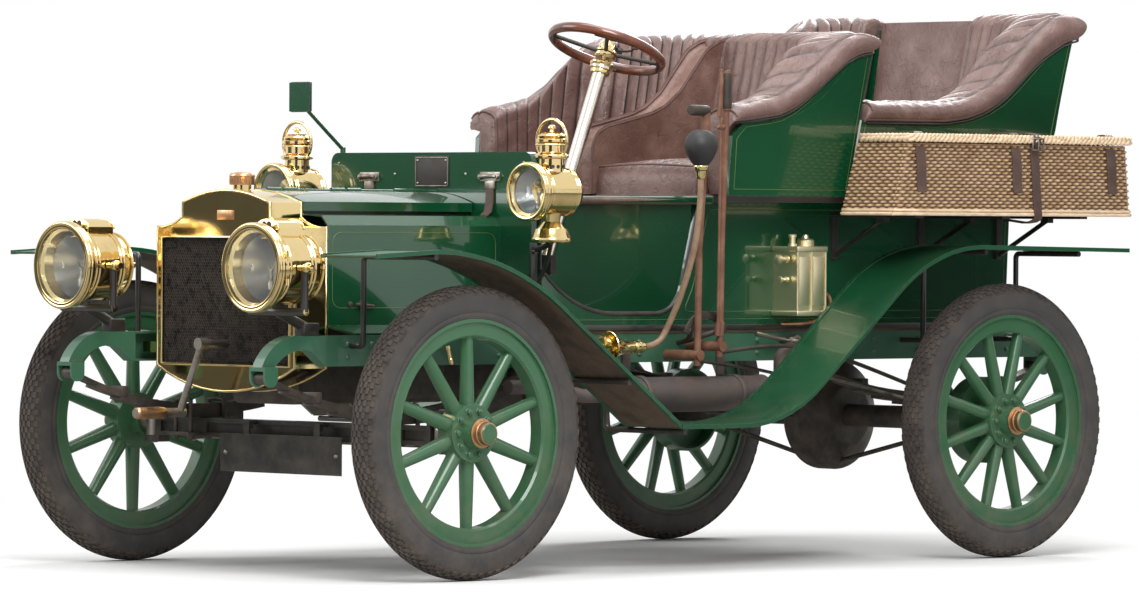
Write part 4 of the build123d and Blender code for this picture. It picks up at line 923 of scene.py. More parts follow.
# Leather roll along the front seats' lower edge
roll = rod(path((-52, -516, 1052), (-50, -300, 1051), (-49, 0, 1051), (-50, 300, 1051), (-52, 516, 1052)),
           14, True, 4)
edge_roll = dress(roll, "seat_front_roll", "brown_leather", "leather", smooth=60)

# Padded lining of the rear door
DOOR_WALL = ((-1429, 1083), (-1490, 1270), (-1545, 1585), (-1545, 1610))
DOOR_MARGIN = ((2, 184), (2, 197.5), (0, 197.5), (0, -206), (2, -206), (2, -193))


def door_lining():
    """A smooth pad that follows the door's slope, with a flat margin at each side."""
    rings = []
    for number in range(37):
        v = number / 36
        z = 1085 + 522 * v
        for (x0, z0), (x1, z1) in zip(DOOR_WALL, DOOR_WALL[1:]):
            if z <= z1:
                back = x0 + (x1 - x0) * (z - z0) / (z1 - z0) + 27
                break
        ring = []
        for step in range(33):
            u = step / 32
            thick = 36 * abs(math.sin(math.pi * u)) ** 0.22 * math.sin(math.pi * (0.03 + 0.94 * v)) ** 0.3
            ripple = 2.5 * noise.noise((u * 4, v * 5, 5.3))
            ring.append(mm(back + thick + ripple, -192 + 375 * u, z))
        rings.append(ring + [mm(back + flat, y, z) for flat, y in DOOR_MARGIN])
    return skin(rings)


lining = dress(door_lining(), "rear_door_leather", "leather", "leather", "rear_door", 60)
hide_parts("door_pad")

# Tyres with staggered tread blocks, hub caps and hub bolts
WHEELS = [(end, hand, mm(1080 if end == "front" else -1080, 710 if hand == "left" else -710, 405))
          for end in ("front", "rear") for hand in ("left", "right")]
TREAD_STEPS = 150
TREAD_ROWS = (-40, -31, -22, -13.5, -4.5, 4.5, 13.5, 22, 31, 40)
CROWN = (384, 391.5, 397, 400, 401, 401, 400, 397, 391.5, 384)
TREAD_INSIDE = 378


def tyre():
    """A beaded edge tyre at the origin, its blocks raised from the crown."""
    side = ((313.5, 36), (320, 41), (328, 42), (331, 40.5), (334, 43), (347, 45), (362, 44.6), (376, 42.4))
    profile = [(r, -d) for r, d in side] + list(zip(CROWN, TREAD_ROWS)) + list(reversed(side))
    profile += [(313.5, 0)]
    piece = turned(profile + [profile[0]], Vector(), LEFT, TREAD_STEPS)
    open_up(piece)

    def on_block(face):
        spot = face.calc_center_median() * 1000
        if math.hypot(spot.x, spot.z) < 385 or abs(spot.y) > 38:
            return False
        row = sum(spot.y > limit for limit in TREAD_ROWS)
        turn = int((math.atan2(spot.z, spot.x) / FULL_TURN + 1) * TREAD_STEPS + 0.01)
        return (row + turn) % 2 == 0

    pick_faces(piece, on_block)
    bpy.ops.mesh.extrude_faces_move(TRANSFORM_OT_shrink_fatten={"value": 0.0038})
    bpy.ops.mesh.inset(thickness=0.0012, use_individual=True)
    bpy.ops.object.mode_set(mode="OBJECT")
    return piece


def hub_cap():
    """A ribbed cap over the hub's end."""
    return turned(((0, 60), (40.5, 60), (41, 64), (34, 66), (33.5, 70), (35, 72), (35, 76), (32, 78),
                   (32, 89), (30.5, 92), (27.5, 93), (26, 91), (14, 91), (12, 94), (0, 94.6)), Vector(),
                  LEFT)


def hub_bolts():
    """A ring of nuts on the hub's outer flange, with washers under them."""
    put_down()
    bpy.ops.mesh.primitive_cylinder_add(vertices=6, radius=0.0085, depth=0.009, location=(0.061, 0.0345, 0),
                                        rotation=(math.pi / 2, 0, 0))
    nut = bpy.context.object
    bpy.ops.object.transform_apply(location=True, rotation=True, scale=True)
    stud = turned(((0, 28), (11, 28), (11, 30.5), (4.5, 31), (4.5, 41), (3, 42.5), (0, 42.5)), mm(61, 0, 0),
                  LEFT, 12)
    return ring_of(eased(joined(nut, stud), 1.0, 1), 10, (0, 0, 0), LEFT)


def valve():
    """A tyre valve through the felloe, with its cap."""
    return turned(((0, 250), (6, 250), (6.5, 240), (5, 238), (5, 214), (6.5, 212), (6.5, 200), (4, 196),
                   (0, 196)), Vector(), (0.3, 0, 1), 12)


FIRST_TYRE = tyre()
FITTINGS = (("hub_cap", hub_cap(), "copper", "brass", 35),
            ("hub_bolts", hub_bolts(), "wheel_green", "wheel_paint", 30),
            ("valve", valve(), "brass", "brass", 35))
for end, hand, centre in WHEELS:
    body = f"{end}_{hand}_wheel"
    facing = Matrix.Rotation(0 if hand == "left" else math.pi, 4, "Z")
    spot = Matrix.Translation(centre) @ facing
    rubber = dress(copied(FIRST_TYRE, turn=spot), f"tyre_{end}_{hand}_treaded", "tyre", "tyre", body, 40)
    rubber.data.materials.append(FINISH["tread"])
    for face in rubber.data.polygons:
        away = (face.center - centre) * 1000
        face.material_index = int(math.hypot(away.x, away.z) > TREAD_INSIDE)
    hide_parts(f"tyre_{end}_{hand}")
    for name, fitting, label, slot, smooth in FITTINGS:
        dress(copied(fitting, turn=spot), f"{name}_{end}_{hand}", label, slot, body, smooth)
for start in [FIRST_TYRE] + [row[1] for row in FITTINGS]:
    bpy.data.objects.remove(start)

# Radiator: honeycomb of tubes, rim bead, blank plate and knurled filler
CELL = 5.4
CELL_WIDE = CELL * math.sqrt(3)
CORE_SIDE, CORE_LOW, CORE_HIGH = 272, 580, 937


def honeycomb():
    """Hexagonal tubes over the core's face, cut to its frame."""
    put_down()
    cells = []
    for y, z in ((0, 0), (CELL_WIDE / 2, 1.5 * CELL)):
        bpy.ops.mesh.primitive_circle_add(
            vertices=6, radius=CELL / 1000, fill_type="NGON", rotation=(math.pi / 2, 0, math.pi / 2),
            location=mm(1336, -CORE_SIDE + y, CORE_LOW + z))
        bpy.ops.object.transform_apply(location=True, rotation=True, scale=True)
        cells.append(bpy.context.object)
    piece = joined(*cells)
    for count, step in ((60, mm(0, CELL_WIDE, 0)), (23, mm(0, 0, 3 * CELL))):
        with_modifier(piece, "ARRAY", use_relative_offset=False, use_constant_offset=True, count=count,
                      constant_offset_displace=step)
    open_up(piece)
    bpy.ops.mesh.select_all(action="SELECT")
    bpy.ops.mesh.remove_doubles(threshold=0.0002)
    for spot, way in ((LEFT * (1 - CORE_SIDE), -LEFT), (LEFT * (CORE_SIDE - 1), LEFT),
                      (UP * (CORE_LOW + 1), -UP), (UP * (CORE_HIGH - 1), UP)):
        bpy.ops.mesh.select_all(action="SELECT")
        bpy.ops.mesh.bisect(plane_co=spot / 1000, plane_no=way, clear_outer=True)
    bpy.ops.mesh.select_all(action="SELECT")
    bpy.ops.mesh.normals_make_consistent(inside=False)
    bpy.ops.mesh.inset(thickness=0.0009, use_individual=True)
    bpy.ops.transform.translate(value=mm(-4.5, 0, 0))
    bpy.ops.object.mode_set(mode="OBJECT")
    return piece


def shell_outline(grow, x):
    """The radiator shell's outline at a length, grown outwards, back to its start."""
    points = [(-49 * step, 1162.6 - grow - math.sqrt(656.6 ** 2 - (49 * step) ** 2)) for step in range(6)]
    points += [(-293 - grow, 575 - grow), (-293 - grow, 965 + grow * 0.3), (-262 - grow * 0.6, 966 + grow),
               (-232, 972 + grow), (-205 - grow * 0.5, 982 + grow), (-186 - grow, 994 + grow),
               (-186 - grow, 1034 + grow * 0.5)]
    for step in range(6):
        y = -170 + 34 * step
        points.append((y, 1068 + grow - 35 * (y / 186) ** 2))
    full = points + [(-y, z) for y, z in reversed(points[1:])]
    return at_length(x, full + full[:1])


dress(honeycomb(), "radiator_honeycomb", "black", "black_paint", smooth=20)
for x, name in ((1340, "front"), (1225, "rear")):
    dress(wire(shell_outline(-1, x), 4.5), f"radiator_{name}_bead", "brass", "brass", smooth=60)
inner_bead = at_length(1342, ((-CORE_SIDE, CORE_LOW), (CORE_SIDE, CORE_LOW), (CORE_SIDE, CORE_HIGH),
                              (-CORE_SIDE, CORE_HIGH), (-CORE_SIDE, CORE_LOW)))
dress(wire(inner_bead, 4), "radiator_inner_bead", "brass", "brass", smooth=60)
dress(box((1341, -34, 985), (1345, 34, 1012), 1.2), "radiator_blank_plate", "copper", "brass")
filler = turned(((0, 0), (34.5, 0), (35, 3), (34.5, 20), (36, 22), (36, 27), (31, 33), (12, 36), (0, 36.5)),
                mm(1282, 0, 1083), UP, 64)
open_up(filler)
pick_faces(filler,
           lambda face: abs(face.normal.z) < 0.3 and face.index % 2 == 0 and face.calc_area() > 0.00004)
bpy.ops.mesh.inset(thickness=0.0004, use_individual=True)
bpy.ops.mesh.extrude_faces_move(TRANSFORM_OT_shrink_fatten={"value": 0.0012})
bpy.ops.object.mode_set(mode="OBJECT")
dress(filler, "radiator_filler_cap", "copper", "brass", smooth=40)

# Lamps, each from the middle of its front glass; the chimney stands behind the side lamp's glass
HEADLAMP = (1600, 405, 855)
SIDE_LAMP = (700, 540, 1069)
CHIMNEY = (602, 540, 1069)


def by(base, x=0, y=0, z=0):
    """A point from a lamp's own middle."""
    return mm(base[0] + x, base[1] + y, base[2] + z)


def bezel(lamp, inside, outside):
    """Beads round a lamp's front."""
    return turned(((inside, -1), (inside + 2, 0.6), (inside + 5, 1), (outside - 8, 0), (outside - 5, 2),
                   (outside - 1, 1), (outside + 1.5, -3), (outside + 1.8, -8), (outside, -10),
                   (outside + 2, -13), (outside + 2, -17), (outside, -20), (outside + 1, -24),
                   (outside - 2, -27), (inside, -8)), mm(*lamp), FORWARD, 72)


def reflector(lamp, front, deep):
    """A deep silvered bowl behind the glass."""
    bowl = [(front * math.sqrt(step / 14), -16 - deep + deep * step / 14 * 0.97) for step in range(15)]
    back = [(r + 1.2, d - 1.2) for r, d in reversed(bowl[1:])]
    return turned(bowl + back + [(0, -18 - deep)], mm(*lamp), FORWARD, 64)


def burner(lamp, back):
    """A twin acetylene jet on its stem."""
    stem = turned(((0, -60), (9, -60), (9, -40), (5, -36), (5, -12), (7, -10), (7, -4), (0, -4)),
                  by(lamp, -back), UP, 20)
    arms = [rod([by(lamp, -back, 0, -8), by(lamp, -back, side * 10, -2), by(lamp, -back, side * 12, 9)], 2.6)
            for side in (1, -1)]
    return joined(stem, *arms)


for name, lamp, ring_size, bowl_size, burner_back in (("headlamp", HEADLAMP, (104, 122), (101, 138), 78),
                                                      ("side_lamp", SIDE_LAMP, (70, 81), (60, 66), 51.48)):
    dress_pair([bezel(lamp, *ring_size)], f"{name}_bezels", "brass", "brass", 50)
    dress_pair([reflector(lamp, *bowl_size)], f"{name}_reflectors", "mirror", "mirror_glass", 60)
    dress_pair([burner(lamp, burner_back)], f"{name}_burners", "steel", "steel", 50)

# Headlamp hood cover with vent holes, side knobs and back hinge
vents = []
for column in range(4):
    for row, high in ((-1, 122.5), (0, 128.5), (1, 122.5)):
        vents.append(turned(((0, 0.6), (5.4, 0.6), (6.6, 1.4), (7.4, 0.8), (7.6, -1), (0, -1)),
                            by(HEADLAMP, -135 + 20 * column, 22 * row, high), (0, row * 0.45, 1), 14))
for across, high, size in ((-30, 104, 6), (-10, 118, 7), (10, 118, 7), (30, 104, 6), (-10, 100, 5),
                           (10, 100, 5)):
    vents.append(turned(((0, 0.8), (size, 0.8), (size + 1.6, 1.6), (size + 2.4, 0.8), (size + 2.4, -1),
                         (0, -1)), by(HEADLAMP, -56, across, high), FORWARD, 16))
dress_pair(vents, "headlamp_vents", "iron", "cast_iron", 50)
arch = [math.pi * n / 16 for n in range(17)]
cover = plate([by(HEADLAMP, -154, 50 * math.cos(angle), 103 + 31 * math.sin(angle)) for angle in arch],
              mm(5, 0, 0))
hood_ends = eased(joined(cover, copied(cover, mm(93, 0, 0))), 1.5)
dress_pair([hood_ends], "headlamp_hood_ends", "brass", "brass", 50)
knobs = [turned(((0, 0), (14, 0), (15, 4), (15, 11), (12, 14), (6, 15), (6, 20), (9, 22), (9, 27), (0, 29)),
                by(HEADLAMP, -100, side * 112), LEFT * side, 24) for side in (-1, 1)]
knobs.append(turned(((0, 0), (16, 0), (14, 12), (8, 16), (8, 26), (12, 30), (9, 38), (0, 40)),
                    by(HEADLAMP, -227), -FORWARD, 24))
knobs += [turned(((0, -9), (6, -9), (6, 9), (0, 9)), by(HEADLAMP, -24, 124, height), UP, 16)
          for height in (-38, 38)]
dress_pair(knobs, "headlamp_fittings", "brass", "brass", 50)


def lamp_rib(lamp, back, radius, half, rise, steps):
    """A rib round a lamp's body."""
    return turned(((radius - 4, -half), (radius, -half), (radius + rise, 0), (radius, half),
                   (radius - 4, half)), by(lamp, -back), FORWARD, steps)


ribs = [lamp_rib(HEADLAMP, back, radius, 3.2, 2.4, 64)
        for back, radius in ((48, 101), (60, 100.5), (138, 99.5), (150, 99), (186, 91))]
ribs += [lamp_rib(SIDE_LAMP, back, radius, 2.4, 1.8, 48)
         for back, radius in ((38, 67), (48, 67), (140, 66.5), (150, 66))]
dress_pair(ribs, "lamp_ribs", "brass", "brass", 50)

# Side lamp chimney: pierced gallery, flared brims, cap knob, foot ring and pins
gallery = []
for number in range(14):
    angle = number * FULL_TURN / 14
    gallery.append(turned(((0, 0.4), (4, 0.4), (5, 1.2), (5.6, 0.4), (5.6, -1), (0, -1)),
                          by(CHIMNEY, 36 * math.cos(angle), 36 * math.sin(angle), 70),
                          (math.cos(angle), math.sin(angle), 0), 10))
dress_pair(gallery, "side_lamp_vents", "iron", "cast_iron", 50)
cap_knob = ((0, 162), (9, 164), (6, 170), (6, 174), (11, 178), (11, 183), (6, 188), (0, 189))
foot_ring = ((40, -106), (46, -104), (55, -128), (58, -131), (58, -139), (54, -143), (30, -143))
pin = ((0, 0), (7, 0), (8, 3), (8, 9), (4, 12), (0, 12.5))
fittings = [turned(cap_knob, by(CHIMNEY), UP, 24), turned(foot_ring, by(CHIMNEY), UP, 40)]
fittings += [turned(pin, by(CHIMNEY, 0, side * 40, 99), LEFT * side, 16) for side in (-1, 1)]
for low, wide in ((103, 49), (133, 47), (158, 40)):
    brim = ((30, low + 9), (wide - 14, low + 8), (wide - 1, low), (wide, low - 2), (wide - 3, low - 3),
            (30, low + 3))
    fittings.append(turned(brim, by(CHIMNEY), UP))
dress_pair(fittings, "side_lamp_fittings", "brass", "brass", 50)

# Woven hampers: randed sides, plaited lid edges, pale canes along the base, leather straps
STAKE = 17.0
STRAND = 9.7
HAMPER_ROWS = 20
HAMPER_ROUND = 2470
BASE_FRONT, BASE_REAR, BASE_IN, BASE_OUT, BASE_LOW, RIM_HIGH = -532, -1556, 562, 796, 1010, 1222
LEAN_HEIGHT, FRONT_LEAN, SIDE_LEAN = 215, 70, 18
WEAVE_LOW = BASE_LOW + 14
LID_FRONT, LID_REAR, LID_IN, LID_OUT = -600, -1557, 580, 783
LID_EDGE, LID_TOP = 1227, 1236


def round_plan(front, rear, inner, outer, corner):
    """Points and outward directions round a plan with soft corners, about a quarter stake apart."""
    stops = []
    for x, y, start in ((front - corner, outer - corner, 0), (rear + corner, outer - corner, 90),
                        (rear + corner, inner + corner, 180), (front - corner, inner + corner, 270)):
        for step in range(5):
            angle = math.radians(start + 22.5 * step)
            way = Vector((math.cos(angle), math.sin(angle)))
            stops.append((Vector((x, y)) + way * corner, way))
    points = []
    for (first, way), (second, other) in zip(stops, stops[1:] + stops[:1]):
        count = max(1, round((second - first).length * 4 / STAKE))
        for step in range(count):
            share = step / count
            points.append((first.lerp(second, share), way.lerp(other, share).normalized()))
    return points


def hamper_ring(height, out_of, inset=0.0):
    """One level of the basket; the front leans back and the outside leans in with height."""
    share = (height - BASE_LOW) / LEAN_HEIGHT
    plan = round_plan(BASE_FRONT - FRONT_LEAN * share - inset, BASE_REAR + inset, BASE_IN + inset,
                      BASE_OUT - SIDE_LEAN * share - inset, 14)
    count = 4 * round(HAMPER_ROUND / STAKE)
    ring = []
    for number in range(count):
        place = number * len(plan) / count
        index = int(place)
        spot = plan[index][0].lerp(plan[(index + 1) % len(plan)][0], place - index)
        spot = spot + plan[index][1] * out_of(number)
        ring.append(mm(spot.x, spot.y, height))
    return ring


def swing(column, row):
    """Over one stake and under the next: 1 at the front of a stake, -1 behind it."""
    return math.cos(math.pi * (column / 4 + row))


def woven(row, across):
    """How far a strand stands out at a place: round in itself, over one stake and under the next."""
    def out_of(number):
        rough = 0.7 * noise.noise((number / 9, row * 1.7, 0.5))
        return -4.2 + 3.2 * across + 2.8 * swing(number, row) * (0.3 + 0.7 * across) + rough
    return out_of


def painted_weave_light(across, column, row):
    """How near the outside a place of the weave is, from 0 in a gap to 1 on a crest; it sets the painted
    shade of the gaps.
    """
    return (0.1 + 0.9 * across) * (0.6 + 0.4 * swing(column, row))


def basket():
    """The hollow basket: its woven outside, a rolled rim and a plain inside."""
    rings = [hamper_ring(BASE_LOW, lambda number: -6.0)]
    count = len(rings[0])
    # Painted light shares for the cane: painted shade at the foot, in the weave's gaps and, less, on the rim
    # and inside.
    heights = [0.3] * count
    for row in range(HAMPER_ROWS):
        for across, share in ((0.0, 0.0), (0.75, 0.22), (1.0, 0.5), (0.75, 0.78)):
            rings.append(hamper_ring(WEAVE_LOW + (row + share) * STRAND, woven(row, across)))
            heights += [painted_weave_light(across, number, row) for number in range(count)]
    for height, inset in ((RIM_HIGH - 2, 1.0), (RIM_HIGH, 5.0), (RIM_HIGH, 11.0), (RIM_HIGH - 6, 13.5),
                          (WEAVE_LOW, 13.5)):
        rings.append(hamper_ring(height, lambda number: 0.0, inset))
        heights += [0.7] * count
    return skin(rings, heights, "painted_weave_light")


def all_on_top(piece):
    """Marks a piece of plain canes as crests all over, with none of the weave's painted shade."""
    points = piece.data.attributes.new("painted_weave_light", "FLOAT", "POINT")
    points.data.foreach_set("value", [1.0] * len(piece.data.vertices))
    return piece


def plait(points, radius, spread, pitch):
    """Three strands plaited round a closed line."""
    strands = []
    for strand in range(3):
        line = []
        run = 0
        for number, point in enumerate(points):
            after = points[(number + 1) % len(points)]
            along = (after - points[number - 1]).normalized()
            side = along.cross(UP).normalized()
            phase = FULL_TURN * (run / pitch + strand / 3)
            wild = 1 + 0.25 * noise.noise((run * 12, strand * 3.1, 2.2))
            sway = spread * wild / 1000
            line.append(point + side * (sway * math.cos(phase)) + UP * (0.6 * sway * math.sin(2 * phase)))
            run += (after - point).length
        strands.append(wire(line + [line[0]], radius))
    return joined(*strands)


def lid_weave():
    """The lid's woven top, a shallow tray turned down at its edges."""
    rings = []
    # Painted light shares: painted shade in the weave's gaps and half shade along the turned-down edges.
    heights = []
    wide = LID_OUT - LID_IN
    columns = round((LID_FRONT - LID_REAR) * 4 / STAKE)
    rows = round(wide / STRAND)
    for column in range(columns + 1):
        x = LID_REAR + (LID_FRONT - LID_REAR) * column / columns
        ring = [mm(x, LID_IN, LID_EDGE)]
        heights.append(0.5)
        for row in range(rows):
            for across, share in ((0.0, 0.02), (0.8, 0.25), (1.0, 0.5), (0.8, 0.75)):
                y = LID_IN + (row + share) * wide / rows
                edge = min(y - LID_IN, LID_OUT - y, x - LID_REAR + 6, LID_FRONT - x + 6)
                rough = noise.noise((x / 9, y / 9, 1.0))
                lift = 2.6 * across + 2.0 * swing(column, row) * (0.4 + 0.6 * across) + rough
                crown = 6 * math.sin(math.pi * (y - LID_IN) / wide)
                ring.append(mm(x, y, LID_TOP + crown + lift - 8 * max(0, 1 - edge / 12) ** 2))
                heights.append(painted_weave_light(across, column, row))
        ring.append(mm(x, LID_OUT, LID_EDGE))
        heights.append(0.5)
        rings.append(ring)
    return skin(rings, heights, "painted_weave_light")


def lid_edge():
    """The plaited border round the lid."""
    plan = round_plan(LID_FRONT + 1, LID_REAR - 1, LID_IN + 4, LID_OUT + 4, 16)
    low = [mm(spot.x, spot.y, 1233) for spot, way in plan]
    high = [point + mm(0, 0, 9) for point in low]
    return all_on_top(joined(plait(low, 5.6, 7.5, 0.058), plait(high, 4.6, 6, 0.049)))


def base_canes():
    """Pale canes round the foot of the basket."""
    canes = []
    for height, radius, out in ((1014.5, 5.2, 0.5), (1024.5, 4.4, 0.2)):
        ring = hamper_ring(height, lambda number: out)
        canes.append(wire(ring[::4] + [ring[0]], radius))
    return all_on_top(joined(*canes))


# Hamper straps; the long one goes round the basket and over its lid
STRAPS = (-643, -1053, -1471)
LONG_STRAP = -1134
STRAP_WIDE, LONG_WIDE, STRAP_THICK, TAB_THICK = 38, 34, 4.5, 4


def band_of(points, width, thick):
    """A flat leather band along points in one plane across the car, its width along the car."""
    half = mm(width / 2, 0, 0)
    rings = []
    for number, point in enumerate(points):
        before = points[max(number - 1, 0)]
        after = points[min(number + 1, len(points) - 1)]
        along = (after - before).normalized()
        off = along.cross(FORWARD).normalized() * (thick / 2000)
        rings.append([point - half - off, point + half - off, point + half + off, point - half + off])
    return eased(skin(rings), 0.8, 1)


def outer_face(height):
    """The basket's outer face at a height, just clear of its weave."""
    return BASE_OUT - SIDE_LEAN * (height - BASE_LOW) / LEAN_HEIGHT + 5


def lower_straps():
    """Short straps down the outside, and the long one under the basket."""
    down = [(outer_face(z) + 1.5 * math.sin(z / 20), z) for z in range(1078, 1216, 12)]
    bands = [band_of(at_length(x, down), STRAP_WIDE, STRAP_THICK) for x in STRAPS]
    under = [(outer_face(z), z) for z in range(1216, 1004, -14)]
    under += [(797, 1000), (780, 993), (752, 990), (700, 996), (640, 1003)]
    return joined(*bands, band_of(at_length(LONG_STRAP, under), LONG_WIDE, STRAP_THICK))


def lid_straps():
    """The long strap over the lid, and a tab above each short strap."""
    over = ((582, 1240), (600, 1251), (680, 1255), (760, 1254), (786, 1250), (795, 1243), (796.5, 1228),
            (795, 1219))
    tab = ((742, 1248), (752, 1252.5), (772, 1253), (782, 1247))
    return joined(band_of(at_length(LONG_STRAP, over), LONG_WIDE, STRAP_THICK),
                  *[band_of(at_length(x, tab), LONG_WIDE, TAB_THICK) for x in STRAPS])


def buckle():
    """A square wire buckle with its tongue."""
    corners = ((-24, -17), (24, -17), (24, 17), (-24, 17), (-24, -17))
    square = [mm(LONG_STRAP + dx, 799.5, RIM_HIGH + dz) for dx, dz in corners]
    return joined(wire(square, 3), rod(at_length(LONG_STRAP, ((800, 1238), (803, 1226), (801, 1206))), 2.2))


def both_hampers(piece, name, finish_name, slot_name, bodies, smooth):
    """Hangs a left piece and its mirror image on their own bodies."""
    mirrored = copied(piece, turn=Matrix.Scale(-1, 4, LEFT))
    open_up(mirrored)
    bpy.ops.mesh.select_all(action="SELECT")
    bpy.ops.mesh.normals_make_consistent(inside=False)
    bpy.ops.object.mode_set(mode="OBJECT")
    left = dress(piece, f"{name}_left", finish_name, slot_name, bodies[0], smooth)
    right = dress(mirrored, f"{name}_right", finish_name, slot_name, bodies[1], smooth)
    return left, right


FIXED = ("chassis", "chassis")
LIDS = ("hamper_lid_left", "hamper_lid_right")
baskets = both_hampers(basket(), "hamper_weave", "cane", "wicker", FIXED, 50)
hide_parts("hampers")
lids = both_hampers(lid_weave(), "hamper_lid_weave", "pale_cane", "wicker", LIDS, 50)
for lid, node_name in zip(lids, LIDS):
    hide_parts(node_name)
both_hampers(lid_edge(), "hamper_lid_plait", "pale_cane", "wicker", LIDS, 60)
both_hampers(base_canes(), "hamper_base_canes", "pale_cane", "wicker", FIXED, 60)
both_hampers(lower_straps(), "hamper_straps", "strap", "leather", FIXED, 40)
both_hampers(lid_straps(), "hamper_lid_straps", "strap", "leather", LIDS, 40)
both_hampers(buckle(), "hamper_buckles", "steel", "steel", LIDS, 50)

# Steering wheel: mahogany rim, dark spokes, brass hub and the spark and throttle levers
HUB = mm(95, 235, 1485)
COLUMN_TILT = math.radians(21.7)
COLUMN = Vector((-math.sin(COLUMN_TILT), 0, math.cos(COLUMN_TILT)))
ACROSS = Vector((math.cos(COLUMN_TILT), 0, math.sin(COLUMN_TILT)))
COLUMN_FOOT = HUB + COLUMN * ((0.690 - HUB.z) / COLUMN.z)


def on_wheel(radius, angle, high):
    """A point of the steering wheel from its hub; the angle is in degrees."""
    way = ACROSS * math.cos(math.radians(angle)) + LEFT * math.sin(math.radians(angle))
    return HUB + (way * radius + COLUMN * high) / 1000


turns = [FULL_TURN * n / 16 for n in range(17)]
rim_profile = [(164 + 12.5 * math.cos(angle), 14.5 * math.sin(angle)) for angle in turns]
steering_rim = dress(turned(rim_profile, HUB, COLUMN, 72), "steering_rim", "rim_wood", "wood",
                     "steering_wheel", 60)
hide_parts("steering_wheel")
spokes = []
for angle in (45, 135, 225, 315):
    spokes.append(rod([on_wheel(20, angle, -12), on_wheel(70, angle, -9), on_wheel(158, angle, -3)], 6.2))
    foot = [on_wheel(157, angle - 13, -11), on_wheel(158.5, angle, -13), on_wheel(157, angle + 13, -11)]
    spokes.append(rod(foot, 5))
dress_all(spokes, "steering_spokes", "iron", "steel", 60, "steering_wheel")
hub = [turned(((9, -30), (27, -30), (31, -25), (31, -8), (25, -1), (25, 8), (20, 12), (17, 22), (9, 24),
               (0, 24)), HUB, COLUMN, 40)]
hub += [turned(((0, -4), (6, -4), (6, 2), (4, 4), (0, 4)), on_wheel(22, angle, 2), COLUMN, 12)
        for angle in (0, 90, 180, 270)]
dress_all(hub, "steering_hub", "brass", "brass", 40, "steering_wheel")
levers = [rod([on_wheel(74, angle, 24) for angle in range(130, 236, 7)], 3.4)]
for angle, reach, high in ((205, 96, 30), (152, 82, 38)):
    stem = [on_wheel(0, angle, high - 8), on_wheel(reach * 0.5, angle, high),
            on_wheel(reach, angle, high - 2)]
    levers.append(rod(stem, 3.6))
    levers.append(turned(((0, -9), (6, -9), (8, -4), (8, 4), (6, 9), (0, 10)), on_wheel(reach, angle, high),
                         COLUMN, 18))
dress_all(levers, "spark_and_throttle", "iron", "steel", 50, "steering_wheel")
upper_collar = ((20, -80), (27, -78), (29, -70), (27, -62), (34, -58), (36, -48), (30, -42), (20, -42))
foot_collar = ((20, 0), (44, 0), (46, 4), (34, 12), (28, 30), (25, 34), (20, 34))
collars = [turned(upper_collar, HUB, COLUMN, 36), turned(foot_collar, COLUMN_FOOT, COLUMN, 36)]
dress_all(collars, "column_collars", "brass", "brass", 50)

# Bulb horn: rubber bulb, brass ferrules, flexible hose and brass bell
BULB = mm(101, 630, 1250)
HOSE = path((101, 630, 1124), (101, 630, 980), (110, 575, 800), (118, 520, 690), (150, 505, 630),
            (215, 505, 630))
HOSE_RADIUS = 9
bulb = turned(((0, 0), (12, 0.6), (24, 4), (35, 12), (43, 23), (47.5, 36), (48, 48), (45, 62), (38.5, 77),
               (29, 92), (22, 101), (19, 107), (18, 118), (0, 118)), BULB, -UP)
horn_bulb = dress(bulb, "horn_bulb", "rubber", "rubber", smooth=60)
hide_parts("horn")
neck = turned(((0, 100), (20, 100), (21.5, 104), (21.5, 112), (18, 116), (15, 124), (15, 132), (12.5, 140),
               (9.5, 142), (0, 142)), BULB, -UP, 32)
bell = turned(((9, -10), (13, -10), (14, -4), (17, -2), (17, 6), (14, 8), (14.5, 30), (17, 55), (22, 80),
               (30, 104), (40, 122), (45, 129), (46.5, 132), (45, 134), (42, 131), (30, 108), (21, 84),
               (15, 58), (12, 30), (10, 10), (0, 8)), mm(212, 505, 630), FORWARD)
bracket = box((226, 432, 625.5), (250, 494, 634.5))
clip = turned(((14, -8), (19, -8), (19.5, -5), (19.5, 5), (19, 8), (14, 8)), mm(238, 505, 630), FORWARD, 32)
dress_all([neck, bell, bracket, clip], "horn_brass", "brass", "brass", 50)
hose = tube_of("horn_hose", HOSE, HOSE_RADIUS, True, 4)
hose.data.materials.append(FINISH["hose"])
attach(hose, "chassis")

# Hand lever fittings: grips, pawl rods and the ratchet quadrant
brake_grip = ((0, 0), (12, 0), (15, 5), (16, 22), (14.5, 45), (15.5, 78), (15, 104), (11, 113), (0, 114))
gear_grip = ((0, -8), (13, -8), (15.5, -3), (15.5, 66), (13, 72), (0, 74))
grips = [turned(brake_grip, mm(-62, 568, 1308), UP, 24),
         turned(gear_grip, mm(22, 568, 1306), (1, 0.15, 0), 24)]
dress_all(grips, "lever_grips", "iron", "steel", 50)
pawls = [rod(path((-44, 569, 1400), (-40, 570, 1330), (-38, 569, 1240), (-38, 566, 900), (-38, 562, 700)), 4),
         rod(path((-52, 569, 1262), (-38, 569, 1254), (-30, 569, 1262)), 7),
         rod(path((-30, 569, 1290), (-40, 570, 1360), (-36, 572, 1425)), 6)]
pawls += [rod(path((x, 562, 700), (x + 4, 562, 660)), 9) for x in (-40, -54)]
dress_all(pawls, "lever_pawls", "red_lead", "steel", 50)


def on_quadrant(radius, angle, y):
    """A point round the levers' pivot; the angle is in degrees."""
    return mm(-6 + radius * math.cos(math.radians(angle)), y, 640 + radius * math.sin(math.radians(angle)))


